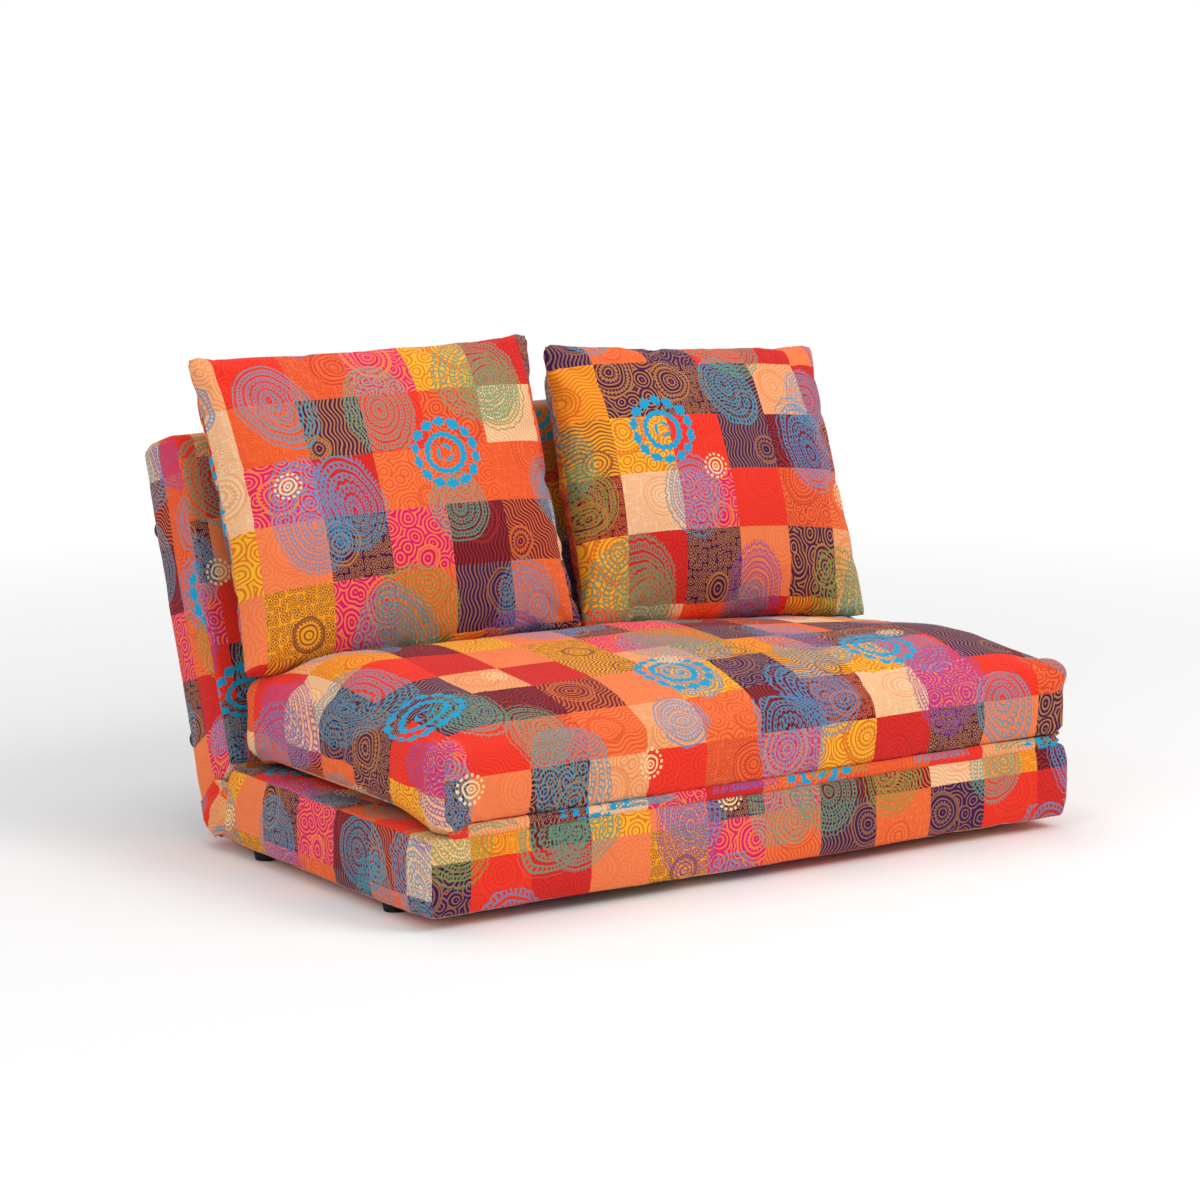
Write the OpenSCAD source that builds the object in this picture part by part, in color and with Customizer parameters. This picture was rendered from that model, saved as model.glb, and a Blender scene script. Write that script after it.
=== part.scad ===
// Fold-out sofa bed in three panels: a base that stays put, a backrest that lies down
// behind it on ratchet hinges, and a soft seat flap that turns over to the front.
// Two loose pillows stand on the seat. +X is right, -Y is the front, +Z is up.

/* [Panels] */
// Width of the base and of the backrest
panel_w = 1200; // [900:10:1500]
// Depth of the base from its front face to the fold line
base_len = 666; // [600:2:760]
// Length of the backrest from the fold line to its top edge
back_len = 600; // [520:5:660]
// Thickness of the two upholstered panels
panel_t = 118; // [100:1:140]
// Height of the fold line above the panels' undersides
fold_rise = 25; // [25:0.5:32]
// Lean of the backrest from upright
back_lean = 18; // [12:1:26]
// Rounding of the base's cover along its edges
base_edge_r = 12; // [8:1:20]
// Rounding of the backrest's cover along its edges
back_edge_r = 20; // [10:1:28]
// Rounding of the base's front corners seen from above
base_corner_r = 16; // [14:1:40]
// Rounding of the backrest's upper corners seen from the front
back_corner_r = 26; // [24:1:60]
// Thickness of the upholstery cloth
cover_t = 2; // [1.5:0.1:3]
// Width of the cloth turned under each panel round the dust cloth
hem_w = 66; // [60:1:90]
// Thickness of the dust cloth
dust_t = 0.8; // [0.5:0.1:1.5]

/* [Seat flap] */
// Width of the seat flap
seat_w = 1172; // [860:2:1176]
// How far the seat flap sits to the right of the middle
seat_shift = 12; // [0:1:13]
// Depth of the seat flap
seat_len = 592; // [480:2:594]
// Thickness of the seat flap along its edges
seat_t = 134; // [100:1:150]
// Rise of the seat's crown above its edges
seat_crown = 46; // [20:1:60]
// Rounding along the seat's top edge
seat_edge_r = 30; // [15:1:40]
// How far the seat's lower seam is drawn in
seat_draw = 15; // [5:1:25]
// Rounding of the seat's corners seen from above
seat_corner_r = 24; // [20:1:80]
// Diameter of the sewn welt that the flap folds about
welt_d = 4; // [3:0.5:6]
// Width of the welt's flat flange
welt_flange_w = 46; // [35:1:70]

/* [Pillows] */
// Width of the left pillow between its corners
left_pillow_w = 592; // [450:2:594]
// Height of the left pillow between its corners
left_pillow_h = 514; // [400:2:540]
// Width of the right pillow between its corners
right_pillow_w = 574; // [450:2:578]
// Height of the right pillow, which has sunk a little, between its corners
right_pillow_h = 474; // [400:2:540]
// Thickness of a pillow at its middle
pillow_t = 172; // [120:2:200]
// How far the middle of each edge is drawn in
pillow_draw = 15; // [6:1:24]
// Place of the left pillow's middle, to the left of the middle
left_pillow_x = 290; // [290:2:340]
// Place of the right pillow's middle, to the right of the middle
right_pillow_x = 314; // [312:2:340]
// Lean of the pillows from upright
pillow_lean = 23; // [19:1:27]
// Turn of each pillow, with its inner edge to the front
pillow_yaw = 4; // [0:1:5]
// Tilt of the left pillow, down on its inner side
left_pillow_roll = 1; // [0:0.5:2]
// Tilt of the right pillow, down on its outer side
right_pillow_roll = 3; // [0:0.5:4]

/* [Frames] */
// Side of the square steel tube
tube = 25; // [20:1:28]
// Wall of the steel tube
tube_wall = 1.5; // [1:0.1:2.5]
// Gap between the frame's far tube and the cover
frame_far_gap = 22; // [16:1:40]
// Width of a webbing strap
strap_w = 50; // [40:1:60]
// Thickness of a webbing strap
strap_t = 1.5; // [1:0.1:2.5]
// Number of webbing straps in each panel
strap_count = 6; // [4:1:7]

/* [Feet] */
// Height of a foot
foot_h = 20; // [15:1:40]
// Diameter of a foot where it meets the cover
foot_d = 40; // [34:1:46]
// Diameter of a foot at the floor
foot_floor_d = 34; // [28:1:40]
// Distance of the base's front feet behind its front face
base_foot_inset = 152; // [120:1:200]
// Distance of the backrest's upper feet below its top edge
back_foot_inset = 132; // [110:1:180]
// Distance of both panels' other feet from the fold line
fold_foot_inset = 128; // [118:1:170]
// Diameter of a foot screw
foot_screw_d = 5; // [4:0.5:6]
// Diameter of a foot screw's head
foot_head_d = 9; // [8:0.5:12]

/* [Ratchet hinges] */
// Thickness of the hinge plates
plate_t = 3; // [2.5:0.1:3.5]
// Height of the hinge straps on the frames
plate_h = 16; // [14:1:18]
// Length of the hinge straps from the fold line
plate_len = 150; // [140:1:170]
// Radius of the ratchet wheel at the root of its teeth
root_r = 19; // [17:0.5:20]
// Radius of the ratchet wheel at the tips of its teeth
tip_r = 24; // [22:0.5:24]
// Number of ratchet teeth
tooth_count = 7; // [6:1:7]
// Diameter of the hinge rivet
rivet_d = 10; // [8:0.5:12]
// Diameter of the rivet's heads
rivet_head_d = 17; // [14:0.5:18]
// Diameter of the pawl's pin
pawl_pin_d = 4; // [3:0.5:5]
// Thickness of the pawl's leaf spring
leaf_t = 0.8; // [0.5:0.1:1.2]
// Diameter of a hinge bolt
bolt_d = 6; // [5:0.5:8]
// Diameter of a hinge bolt's head
bolt_head_d = 11; // [10:0.5:14]

/* [Hidden] */

$fn = 48;

// Clearances, and an overrun for cuts
soft_gap = 0.3;
run_gap = 0.05;
cut = 1;

// Frame of the whole part: the fold line and the two panels' directions
flat_turn = 90 - back_lean;
mitre = flat_turn / 2;
fold_z = foot_h + fold_rise;
up_t = panel_t - fold_rise;
base_top = foot_h + panel_t;
overall_d = base_len + back_len * sin(back_lean) + fold_rise * cos(back_lean);

// The fold: two leaves of cloth lie between the panels' mitred faces
leaf_cloth_t = 0.9;
fold_gap = 2 * (leaf_cloth_t + 2 * soft_gap);
fold_setback = up_t * tan(mitre);
fold_line_len = up_t / cos(mitre);

// Frames. The hinges stand clear of the cover's rounding at the height of their straps
function round_bite(r, height) = height < r ? r - sqrt(pow(r, 2) - pow(r - height, 2)) : 0;
side_gap = 0.5;
hinge_spare = 3.2;
wheel_gap = 3;
frame_lift_share = 0.06;
frame_lift = soft_gap + back_edge_r * frame_lift_share;
strap_lift = frame_lift + (tube - plate_h) / 2;
hinge_room = 2 * plate_t + side_gap + hinge_spare + round_bite(back_edge_r - cover_t, strap_lift);
frame_x = panel_w / 2 - cover_t - hinge_room;
tube_low = cover_t + frame_lift - fold_rise;
tube_top = tube_low + tube;
tube_mid = tube_low + tube / 2;
frame_near = tip_r + wheel_gap;
strap_top = tube_top + strap_t;

// Feet
foot_x = frame_x - tube / 2;
screw_gap = 0.1;
foot_head_t = 3;
screw_end = 6;
foot_recess_gap = 0.5;

// Hinges
arm_x = frame_x + plate_t + side_gap;
rivet_head_t = 2.5;
bolt_head_t = 3;
bolt_near = 62;
bolt_far = 128;
bolt_end = 6;
eye_r = 13;
hinge_zone = plate_len + plate_h;
tooth_pitch = 12;
tooth_crest_from_share = 0.1;
tooth_crest_to_share = 0.3;
tooth_first = 82;
tooth_sink = 0.6;
pawl_gap = 0.4;
pawl_u = 36;
pawl_v = 22;
pawl_hub_r = 6;
pawl_ear_r = 8;
pawl_nose_angle = 20;
pawl_nose_w = 5;
pawl_root_share = 0.85;
pawl_pin_head_d = 7;
pawl_pin_head_t = 1.5;
pawl_play = 0.1;
spring_boss = 6;
spring_boss_u = 47;
pawl_pocket_r = 60;

// Seat flap, in its own frame: Y from its front edge, Z from its underside
seat_low = base_top + dust_t + soft_gap;
seat_front = soft_gap;
fold_axis_z = base_top + dust_t / 2;
// Each pair is a share of the edge's height and a share of the drawn-in depth
seat_side_shares = [[0, 1], [0.14, 0.3], [0.42, 0], [0.7, 0.08]];
seat_crown_shares = [0.1, 0.22, 0.38, 0.58, 0.8, 0.985];
seat_coarse_side_shares = [[0, 1], [0.42, 0]];
seat_coarse_crown_shares = [0.22, 0.58, 0.95];
seat_round_share = 0.6;
seat_crown_power = 4;
zip_tape_h = 12;
zip_tape_t = 1.4;
zip_len_share = 0.7;
zip_pull_w = 9;
zip_pull_h = 16;
zip_pull_t = 3;

// Pillows
left_pillow_size = [left_pillow_w, left_pillow_h];
right_pillow_size = [right_pillow_w, right_pillow_h];
pillow_power_share = 0.45;
pillow_columns = 12;
pillow_rows = 10;
pillow_coarse_columns = 6;
pillow_coarse_rows = 6;
pillow_rim = 12;
pillow_zip_share = 0.6;
pillow_zip_parts = 8;
pillow_zip_w = 7;
// Height of the seat under each pillow, as a share of its crown
left_pillow_seat_share = 0.436;
right_pillow_seat_share = 0.052;

// Shapes made of rings of points, each ring going round anticlockwise seen from above
function flat(list) = [for (part = list, item = part) item];
function side_faces(rings, count) = [
    for (k = [0:rings - 2], i = [0:count - 1], half = [0:1])
        let (j = (i + 1) % count, a = k * count, b = (k + 1) * count)
        half == 0 ? [a + i, b + i, b + j] : [a + i, b + j, a + j]
];
module loft(rings) {
    count = len(rings[0]);
    last = (len(rings) - 1) * count;
    polyhedron(
        points = flat(rings),
        faces = concat(
            [[for (i = [0:count - 1]) i]],
            [[for (i = [count - 1:-1:0]) last + i]],
            side_faces(len(rings), count)
        )
    );
}

// Upholstered panel, in its own frame: Y away from the fold line, Z towards the bed's top
function mitre_y(z, gap) = gap / cos(mitre) + max(z, 0) * tan(mitre);
function edge_rows(low, high, r, steps) = concat(
    [for (i = [0:steps]) [low + r * (1 - cos(90 * i / steps)), r * (1 - sin(90 * i / steps))]],
    [[0, 0]],
    [for (i = [steps:-1:0]) [high - r * (1 - cos(90 * i / steps)), r * (1 - sin(90 * i / steps))]]
);
function panel_ring(half_w, near, far, r, z, steps) = concat(
    [[-half_w, near, z], [half_w, near, z]],
    [for (i = [0:steps]) [half_w - r * (1 - cos(90 * i / steps)), far - r * (1 - sin(90 * i / steps)), z]],
    [for (i = [steps:-1:0]) [-half_w + r * (1 - cos(90 * i / steps)), far - r * (1 - sin(90 * i / steps)), z]]
);
module panel_block(length, deep, edge_r, corner_r, steps, fold_side) {
    round_r = max(corner_r, edge_r + cover_t);
    rows = edge_rows(deep - fold_rise, up_t - deep, edge_r - deep, steps);
    loft([
        for (row = rows)
            panel_ring(
                panel_w / 2 - deep - row[1], mitre_y(row[0], fold_side), length - deep - row[1],
                round_r - deep - row[1], row[0], steps
            )
    ]);
}

module row_frame() translate([0, -overall_d / 2, 0]) children();
module on_base() row_frame() translate([0, base_len, fold_z]) mirror([0, 1, 0]) children();
module on_back() row_frame() translate([0, base_len, fold_z]) rotate([flat_turn, 0, 0]) children();
module on_side(side) mirror([side < 0 ? 1 : 0, 0, 0]) children();
module both_sides() {
    for (side = [-1, 1]) on_side(side) children();
}
module side_plate(from_x, thickness) {
    translate([from_x, 0, 0]) rotate([90, 0, 90]) linear_extrude(thickness) children();
}
module side_pin(from_x, length, d, u, v) {
    translate([from_x, u, v]) rotate([0, 90, 0]) cylinder(h = length, d = d);
}

function foot_places(length, inset) = [
    for (side = [-1, 1], u = [fold_foot_inset, length - inset]) [side * foot_x, u]
];

module panel_cover(length, inset, edge_r, corner_r) {
    difference() {
        panel_block(length, 0, edge_r, corner_r, 3, fold_gap / 2);
        panel_block(length, cover_t, edge_r, corner_r, 3, -cut);
        translate([hem_w - panel_w / 2, hem_w, -fold_rise - cut])
            cube([panel_w - 2 * hem_w, length - 2 * hem_w, cover_t + 2 * cut]);
        for (place = foot_places(length, inset))
            translate([place[0], place[1], -fold_rise - cut])
                cylinder(h = cover_t + 2 * cut, d = foot_screw_d + 2 * screw_gap);
    }
}

module panel_foam(length, edge_r, corner_r, pocket_r) {
    far = length - cover_t - frame_far_gap + soft_gap;
    low = -fold_rise - cut;
    difference() {
        panel_block(length, cover_t + soft_gap, edge_r, corner_r, 3, fold_gap / 2 + soft_gap);
        translate([-frame_x - soft_gap, -cut, low])
            cube([2 * (frame_x + soft_gap), far + cut, strap_top + soft_gap - low]);
        both_sides() {
            translate([frame_x, -cut, low])
                cube([hinge_room + cover_t, hinge_zone + cut, strap_top + soft_gap - low]);
            side_pin(frame_x - rivet_head_t - side_gap, hinge_room + cover_t + rivet_head_t,
                2 * pocket_r, 0, 0);
        }
    }
}

module tube_along_x(length) {
    difference() {
        translate([-length / 2, 0, tube_low]) cube([length, tube, tube]);
        translate([-length / 2 - cut, tube_wall, tube_low + tube_wall])
            cube([length + 2 * cut, tube - 2 * tube_wall, tube - 2 * tube_wall]);
    }
}
module tube_along_y(length) {
    difference() {
        translate([0, 0, tube_low]) cube([tube, length, tube]);
        translate([tube_wall, -cut, tube_low + tube_wall])
            cube([tube - 2 * tube_wall, length + 2 * cut, tube - 2 * tube_wall]);
    }
}
module panel_frame(length, inset) {
    far = length - cover_t - frame_far_gap;
    cross = 2 * (frame_x - tube);
    difference() {
        union() {
            both_sides() translate([frame_x - tube, frame_near, 0]) tube_along_y(far - frame_near);
            for (u = [fold_foot_inset + foot_d, (far + fold_foot_inset) / 2, far - tube])
                translate([0, u, 0]) tube_along_x(cross);
        }
        for (place = foot_places(length, inset))
            translate([place[0], place[1], tube_low - cut])
                cylinder(h = tube_wall + 2 * cut, d = foot_screw_d + 2 * screw_gap);
        both_sides() for (u = [bolt_near, bolt_far])
            side_pin(frame_x - tube_wall - cut, tube_wall + 2 * cut, bolt_d + 2 * screw_gap, u, tube_mid);
    }
}

module panel_webbing(length) {
    near = frame_near + strap_w / 2;
    far = length - cover_t - frame_far_gap - strap_w / 2;
    for (i = [0:strap_count - 1])
        translate([-frame_x, near + (far - near) * i / (strap_count - 1) - strap_w / 2, tube_top])
            cube([2 * frame_x, strap_w, strap_t]);
}

module panel_dust_cloth(length) {
    lap = hem_w - (panel_w / 2 - foot_x - foot_d / 2 - soft_gap);
    edge = hem_w - min(lap, hem_w / 5);
    translate([edge - panel_w / 2, edge, -fold_rise - dust_t])
        cube([panel_w - 2 * edge, length - 2 * edge, dust_t]);
}

module foot() {
    rotate_extrude() polygon([
        [foot_screw_d / 2 + screw_gap, 0],
        [foot_d / 2, 0],
        [foot_d / 2, -foot_h / 5],
        [foot_floor_d / 2, -foot_h],
        [foot_head_d / 2 + foot_recess_gap, -foot_h],
        [foot_head_d / 2 + foot_recess_gap, -foot_h / 2],
        [foot_screw_d / 2 + screw_gap, -foot_h / 2]
    ]);
}
module foot_screw() {
    translate([0, 0, -foot_h / 2 - foot_head_t]) cylinder(h = foot_head_t, d = foot_head_d);
    translate([0, 0, -foot_h / 2 - foot_head_t])
        cylinder(
            h = foot_head_t + foot_h / 2 + cover_t + frame_lift + tube_wall + screw_end,
            d = foot_screw_d
        );
}
module panel_feet(length, inset) {
    for (place = foot_places(length, inset)) translate([place[0], place[1], -fold_rise]) foot();
}
module panel_foot_screws(length, inset) {
    for (place = foot_places(length, inset)) translate([place[0], place[1], -fold_rise]) foot_screw();
}

// Ratchet hinge outlines, with X away from the fold line and Y towards the bed's top
module strap_outline() {
    translate([0, tube_mid - plate_h / 2]) square([plate_len - plate_h / 2, plate_h]);
    translate([plate_len - plate_h / 2, tube_mid]) circle(d = plate_h);
}
module bolt_holes() {
    for (u = [bolt_near, bolt_far]) translate([u, tube_mid]) circle(d = bolt_d + 2 * screw_gap);
}
function on_circle(r, angle) = [r * cos(angle), r * sin(angle)];
module ratchet_wheel() {
    circle(r = root_r);
    polygon(concat(
        [[0, 0]],
        [for (i = [0:tooth_count - 1], corner = [0:2])
            let (start = tooth_first + i * tooth_pitch)
            corner == 0 ? on_circle(root_r - tooth_sink, start)
                : on_circle(tip_r, start + tooth_pitch
                    * (corner == 1 ? tooth_crest_from_share : tooth_crest_to_share))],
        [on_circle(root_r - tooth_sink, tooth_first + tooth_count * tooth_pitch)]
    ));
}
module hinge_plate(side) {
    color("silver") on_base() on_side(side) side_plate(frame_x, plate_t) difference() {
        union() {
            ratchet_wheel();
            strap_outline();
        }
        circle(d = rivet_d);
        bolt_holes();
    }
}
module hinge_arm(side) {
    color("silver") on_back() on_side(side) {
        side_plate(arm_x, plate_t) difference() {
            union() {
                circle(r = eye_r);
                strap_outline();
                translate([pawl_u, pawl_v]) circle(r = pawl_ear_r);
                translate([pawl_u - pawl_ear_r, tube_mid]) square([2 * pawl_ear_r, pawl_v - tube_mid]);
            }
            circle(d = rivet_d + 2 * run_gap);
            translate([pawl_u, pawl_v]) circle(d = pawl_pin_d);
            bolt_holes();
        }
        for (u = [bolt_near, bolt_far]) difference() {
            side_pin(frame_x, plate_t + side_gap, plate_h, u, tube_mid);
            side_pin(frame_x - cut, plate_t + side_gap + 2 * cut, bolt_d + 2 * screw_gap, u, tube_mid);
        }
    }
}
module hinge_rivet(side) {
    color("dimgray") on_base() on_side(side) {
        side_pin(frame_x - rivet_head_t, rivet_head_t, rivet_head_d, 0, 0);
        side_pin(frame_x - rivet_head_t, rivet_head_t + 2 * plate_t + side_gap + run_gap, rivet_d, 0, 0);
        side_pin(arm_x + plate_t + run_gap, rivet_head_t, rivet_head_d, 0, 0);
    }
}
module hinge_bolt(from_x, u) {
    side_pin(from_x, bolt_head_t, bolt_head_d, u, tube_mid);
    side_pin(frame_x - tube_wall - bolt_end, from_x - frame_x + tube_wall + bolt_end + bolt_head_t,
        bolt_d, u, tube_mid);
}
module pawl(side) {
    nose = on_circle(root_r, pawl_nose_angle);
    back = [pawl_u, pawl_v] - nose;
    across = [-back[1], back[0]] / norm(back);
    color("gray") on_back() on_side(side) side_plate(frame_x + pawl_play, plate_t) difference() {
        union() {
            translate([pawl_u, pawl_v]) circle(r = pawl_hub_r);
            polygon([
                nose - across * pawl_nose_w / 2,
                [pawl_u, pawl_v] - across * pawl_hub_r * pawl_root_share,
                [pawl_u, pawl_v] + across * pawl_hub_r * pawl_root_share,
                nose + across * pawl_nose_w / 2
            ]);
        }
        circle(r = tip_r + pawl_gap);
        translate([pawl_u, pawl_v]) circle(d = pawl_pin_d + 2 * run_gap);
    }
}
module pawl_pin(side) {
    color("dimgray") on_back() on_side(side) {
        side_pin(frame_x + pawl_play, arm_x + plate_t - frame_x - pawl_play, pawl_pin_d, pawl_u, pawl_v);
        side_pin(arm_x + plate_t, pawl_pin_head_t, pawl_pin_head_d, pawl_u, pawl_v);
    }
}
module pawl_spring(side) {
    nose = on_circle(tip_r + pawl_gap, pawl_nose_angle);
    boss_v = tube_top + spring_boss / 2 + soft_gap;
    reach = spring_boss_u - nose[0] - pawl_nose_w;
    color("darkgray") on_back() on_side(side) side_plate(frame_x + pawl_play, arm_x - frame_x - pawl_play) {
        translate([spring_boss_u, boss_v]) square(spring_boss, center = true);
        translate([spring_boss_u - reach, boss_v]) square([reach, leaf_t]);
    }
}

// Seat flap
function seat_ring(half_w, half_l, r, z, steps) = [
    for (corner = [0:3], i = [0:steps])
        let (
            sx = (corner == 0 || corner == 3) ? 1 : -1,
            sy = corner < 2 ? 1 : -1,
            a = 90 * corner + 90 * i / steps
        )
        [sx * (half_w - r) + r * cos(a), sy * (half_l - r) + r * sin(a), z]
];
function seat_rows(sides, crowns, deep, steps) = concat(
    [for (s = sides) [max(s[0] * seat_t, deep), s[1] * seat_draw + deep]],
    [for (i = [0:steps])
        let (a = 75 * i / steps)
        [seat_t - deep - seat_edge_r * (1 - sin(a)), seat_edge_r * (1 - cos(a)) + deep]],
    [for (s = crowns) [
        seat_t - deep + seat_crown * (1 - pow(1 - s, seat_crown_power)),
        seat_edge_r + deep + s * (seat_len / 2 - seat_edge_r - deep)
    ]]
);
module seat_block(sides, crowns, deep, steps) {
    translate([seat_shift, seat_front + seat_len / 2, seat_low]) loft([
        for (row = seat_rows(sides, crowns, deep, steps))
            let (
                half_w = seat_w / 2 - row[1],
                half_l = seat_len / 2 - row[1],
                r = min(seat_corner_r + seat_round_share * row[1], half_l * 0.98)
            )
            seat_ring(half_w, half_l, r, row[0], steps + 1)
    ]);
}

// Pillow in its own frame: X along its width, Y along its height, Z to its front
function pillow_point(size, u, v, side, rim, thin) = [
    (size[0] / 2 - rim) * u - pillow_draw * u * (1 - v * v),
    (size[1] / 2 - rim) * v - pillow_draw * v * (1 - u * u),
    side * (pillow_t / 2 - thin) * pow(max((1 - u * u) * (1 - v * v), 0), pillow_power_share)
];
function pillow_grid(size, columns, rows, side, rim, thin) = [
    for (j = [0:rows], i = [0:columns])
        pillow_point(size, 2 * i / columns - 1, 2 * j / rows - 1, side, rim, thin)
];
function on_rim(i, j, columns, rows) = i == 0 || j == 0 || i == columns || j == rows;
module pillow_block(size, columns, rows, rim, thin) {
    stride = columns + 1;
    total = stride * (rows + 1);
    front = pillow_grid(size, columns, rows, 1, rim, thin);
    rear = pillow_grid(size, columns, rows, -1, rim, thin);
    polyhedron(
        points = concat(front, rear),
        faces = concat(
            [for (j = [0:rows - 1], i = [0:columns - 1], half = [0:1])
                let (a = j * stride + i)
                pillow_face(a, a + 1, a + stride, a + stride + 1, half, cut_rises(i, j, columns, rows))],
            [for (j = [0:rows - 1], i = [0:columns - 1], half = [0:1])
                let (
                    a = pillow_rear(i, j, columns, rows, stride, total),
                    b = pillow_rear(i + 1, j, columns, rows, stride, total),
                    c = pillow_rear(i, j + 1, columns, rows, stride, total),
                    d = pillow_rear(i + 1, j + 1, columns, rows, stride, total),
                    face = pillow_face(a, b, c, d, half, cut_rises(i, j, columns, rows))
                )
                [face[2], face[1], face[0]]]
        )
    );
}
// Each cell is cut from the pillow's corner towards its middle
function cut_rises(i, j, columns, rows) = (i < columns / 2) == (j < rows / 2);
function pillow_face(a, b, c, d, half, rises) =
    rises ? (half == 0 ? [a, c, d] : [a, d, b]) : (half == 0 ? [a, c, b] : [b, c, d]);
// The rear surface shares the front's points along the seam
function pillow_rear(i, j, columns, rows, stride, total) =
    j * stride + i + (on_rim(i, j, columns, rows) ? 0 : total);

// A pillow leans back against the backrest, turned by its yaw and tilted by its roll
function turn_x(p, a) = [p[0], p[1] * cos(a) - p[2] * sin(a), p[1] * sin(a) + p[2] * cos(a)];
function turn_z(p, a) = [p[0] * cos(a) - p[1] * sin(a), p[0] * sin(a) + p[1] * cos(a), p[2]];
function pillow_posed(p, yaw, roll) = turn_x(turn_z(turn_x(turn_z(p, roll), 90), yaw), -pillow_lean);
function pillow_points(size, yaw, roll) = [
    for (side = [-1, 1], p = pillow_grid(size, pillow_columns, pillow_rows, side, 0, 0))
        pillow_posed(p, yaw, roll)
];
module pillow_place(size, x, yaw, roll, seat_share) {
    points = pillow_points(size, yaw, roll);
    low = min([for (p = points) p[2]]);
    behind = min([for (p = points) p[2] * sin(back_lean) - p[1] * cos(back_lean)]);
    z = seat_low + seat_t + seat_crown * seat_share + soft_gap - low;
    y = base_len - (up_t + soft_gap - behind - (z - fold_z) * sin(back_lean)) / cos(back_lean);
    row_frame() translate([x, y, z])
        rotate([-pillow_lean, 0, 0]) rotate([0, 0, yaw]) rotate([90, 0, 0]) rotate([0, 0, roll]) children();
}
module left_pillow() {
    pillow_place(
        left_pillow_size, -left_pillow_x, -pillow_yaw, -left_pillow_roll, left_pillow_seat_share
    ) children();
}
module right_pillow() {
    pillow_place(
        right_pillow_size, right_pillow_x, pillow_yaw, -right_pillow_roll, right_pillow_seat_share
    ) children();
}
module pillow_cover(size) {
    difference() {
        pillow_block(size, pillow_columns, pillow_rows, 0, 0);
        pillow_block(size, pillow_coarse_columns, pillow_coarse_rows, pillow_rim, cover_t);
    }
}
module pillow_filling(size) {
    pillow_block(
        size, pillow_coarse_columns, pillow_coarse_rows, pillow_rim + soft_gap, cover_t + soft_gap
    );
}
module pillow_zip(size) {
    function rim_place(u) = pillow_point(size, u, -1, 1, 0, 0);
    loft([
        for (i = [0:pillow_zip_parts])
            let (p = rim_place(pillow_zip_share * (2 * i / pillow_zip_parts - 1)))
            [
                [p[0], p[1] - soft_gap, -zip_tape_t / 2],
                [p[0], p[1] - soft_gap, zip_tape_t / 2],
                [p[0], p[1] - soft_gap - pillow_zip_w, zip_tape_t / 2],
                [p[0], p[1] - soft_gap - pillow_zip_w, -zip_tape_t / 2]
            ]
    ]);
}

module base_frame() color("dimgray") on_base() panel_frame(base_len, base_foot_inset);
module base_webbing() color("tan") on_base() panel_webbing(base_len);
module base_foam() {
    color("ivory") on_base() panel_foam(base_len, base_edge_r, base_corner_r, tip_r + wheel_gap);
}
module base_cover() {
    color("orangered") on_base() panel_cover(base_len, base_foot_inset, base_edge_r, base_corner_r);
}
module base_dust_cloth() color("black") on_base() panel_dust_cloth(base_len);
module base_feet() color("black") on_base() panel_feet(base_len, base_foot_inset);
module base_foot_screws() color("silver") on_base() panel_foot_screws(base_len, base_foot_inset);
module base_hinge_bolts() {
    color("dimgray") on_base() both_sides() for (u = [bolt_near, bolt_far]) hinge_bolt(frame_x + plate_t, u);
}
module left_hinge_plate() hinge_plate(-1);
module right_hinge_plate() hinge_plate(1);
module left_hinge_rivet() hinge_rivet(-1);
module right_hinge_rivet() hinge_rivet(1);
module seat_welt() {
    color("maroon") row_frame() {
        translate([seat_shift - seat_w / 2 + seat_corner_r, 0, fold_axis_z]) rotate([0, 90, 0])
            cylinder(h = seat_w - 2 * seat_corner_r, d = welt_d);
        translate([seat_shift - seat_w / 2 + seat_corner_r, 0, base_top])
            cube([seat_w - 2 * seat_corner_r, welt_flange_w, dust_t]);
    }
}

module back_frame() color("dimgray") on_back() panel_frame(back_len, back_foot_inset);
module back_webbing() color("tan") on_back() panel_webbing(back_len);
module back_foam() {
    color("ivory") on_back() panel_foam(back_len, back_edge_r, back_corner_r, pawl_pocket_r);
}
module back_cover() {
    color("orangered") on_back() panel_cover(back_len, back_foot_inset, back_edge_r, back_corner_r);
}
module back_dust_cloth() color("black") on_back() panel_dust_cloth(back_len);
module back_feet() color("black") on_back() panel_feet(back_len, back_foot_inset);
module back_foot_screws() color("silver") on_back() panel_foot_screws(back_len, back_foot_inset);
module back_hinge_bolts() {
    color("dimgray") on_back() both_sides() for (u = [bolt_near, bolt_far]) hinge_bolt(arm_x + plate_t, u);
}
module left_hinge_arm() hinge_arm(-1);
module right_hinge_arm() hinge_arm(1);
module left_pawl_pin() pawl_pin(-1);
module right_pawl_pin() pawl_pin(1);
module left_pawl_spring() pawl_spring(-1);
module right_pawl_spring() pawl_spring(1);
module left_pawl() pawl(-1);
module right_pawl() pawl(1);
module fold_gusset() {
    color("darkred") on_back() rotate([-mitre, 0, 0])
        translate([-panel_w / 2 + cover_t, 0, fold_line_len - fold_setback]) difference() {
            translate([0, -leaf_cloth_t - soft_gap, 0])
                cube([panel_w - 2 * cover_t, 2 * (leaf_cloth_t + soft_gap), fold_setback]);
            translate([-cut, -soft_gap, leaf_cloth_t])
                cube([panel_w, 2 * soft_gap, fold_setback]);
        }
}

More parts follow.
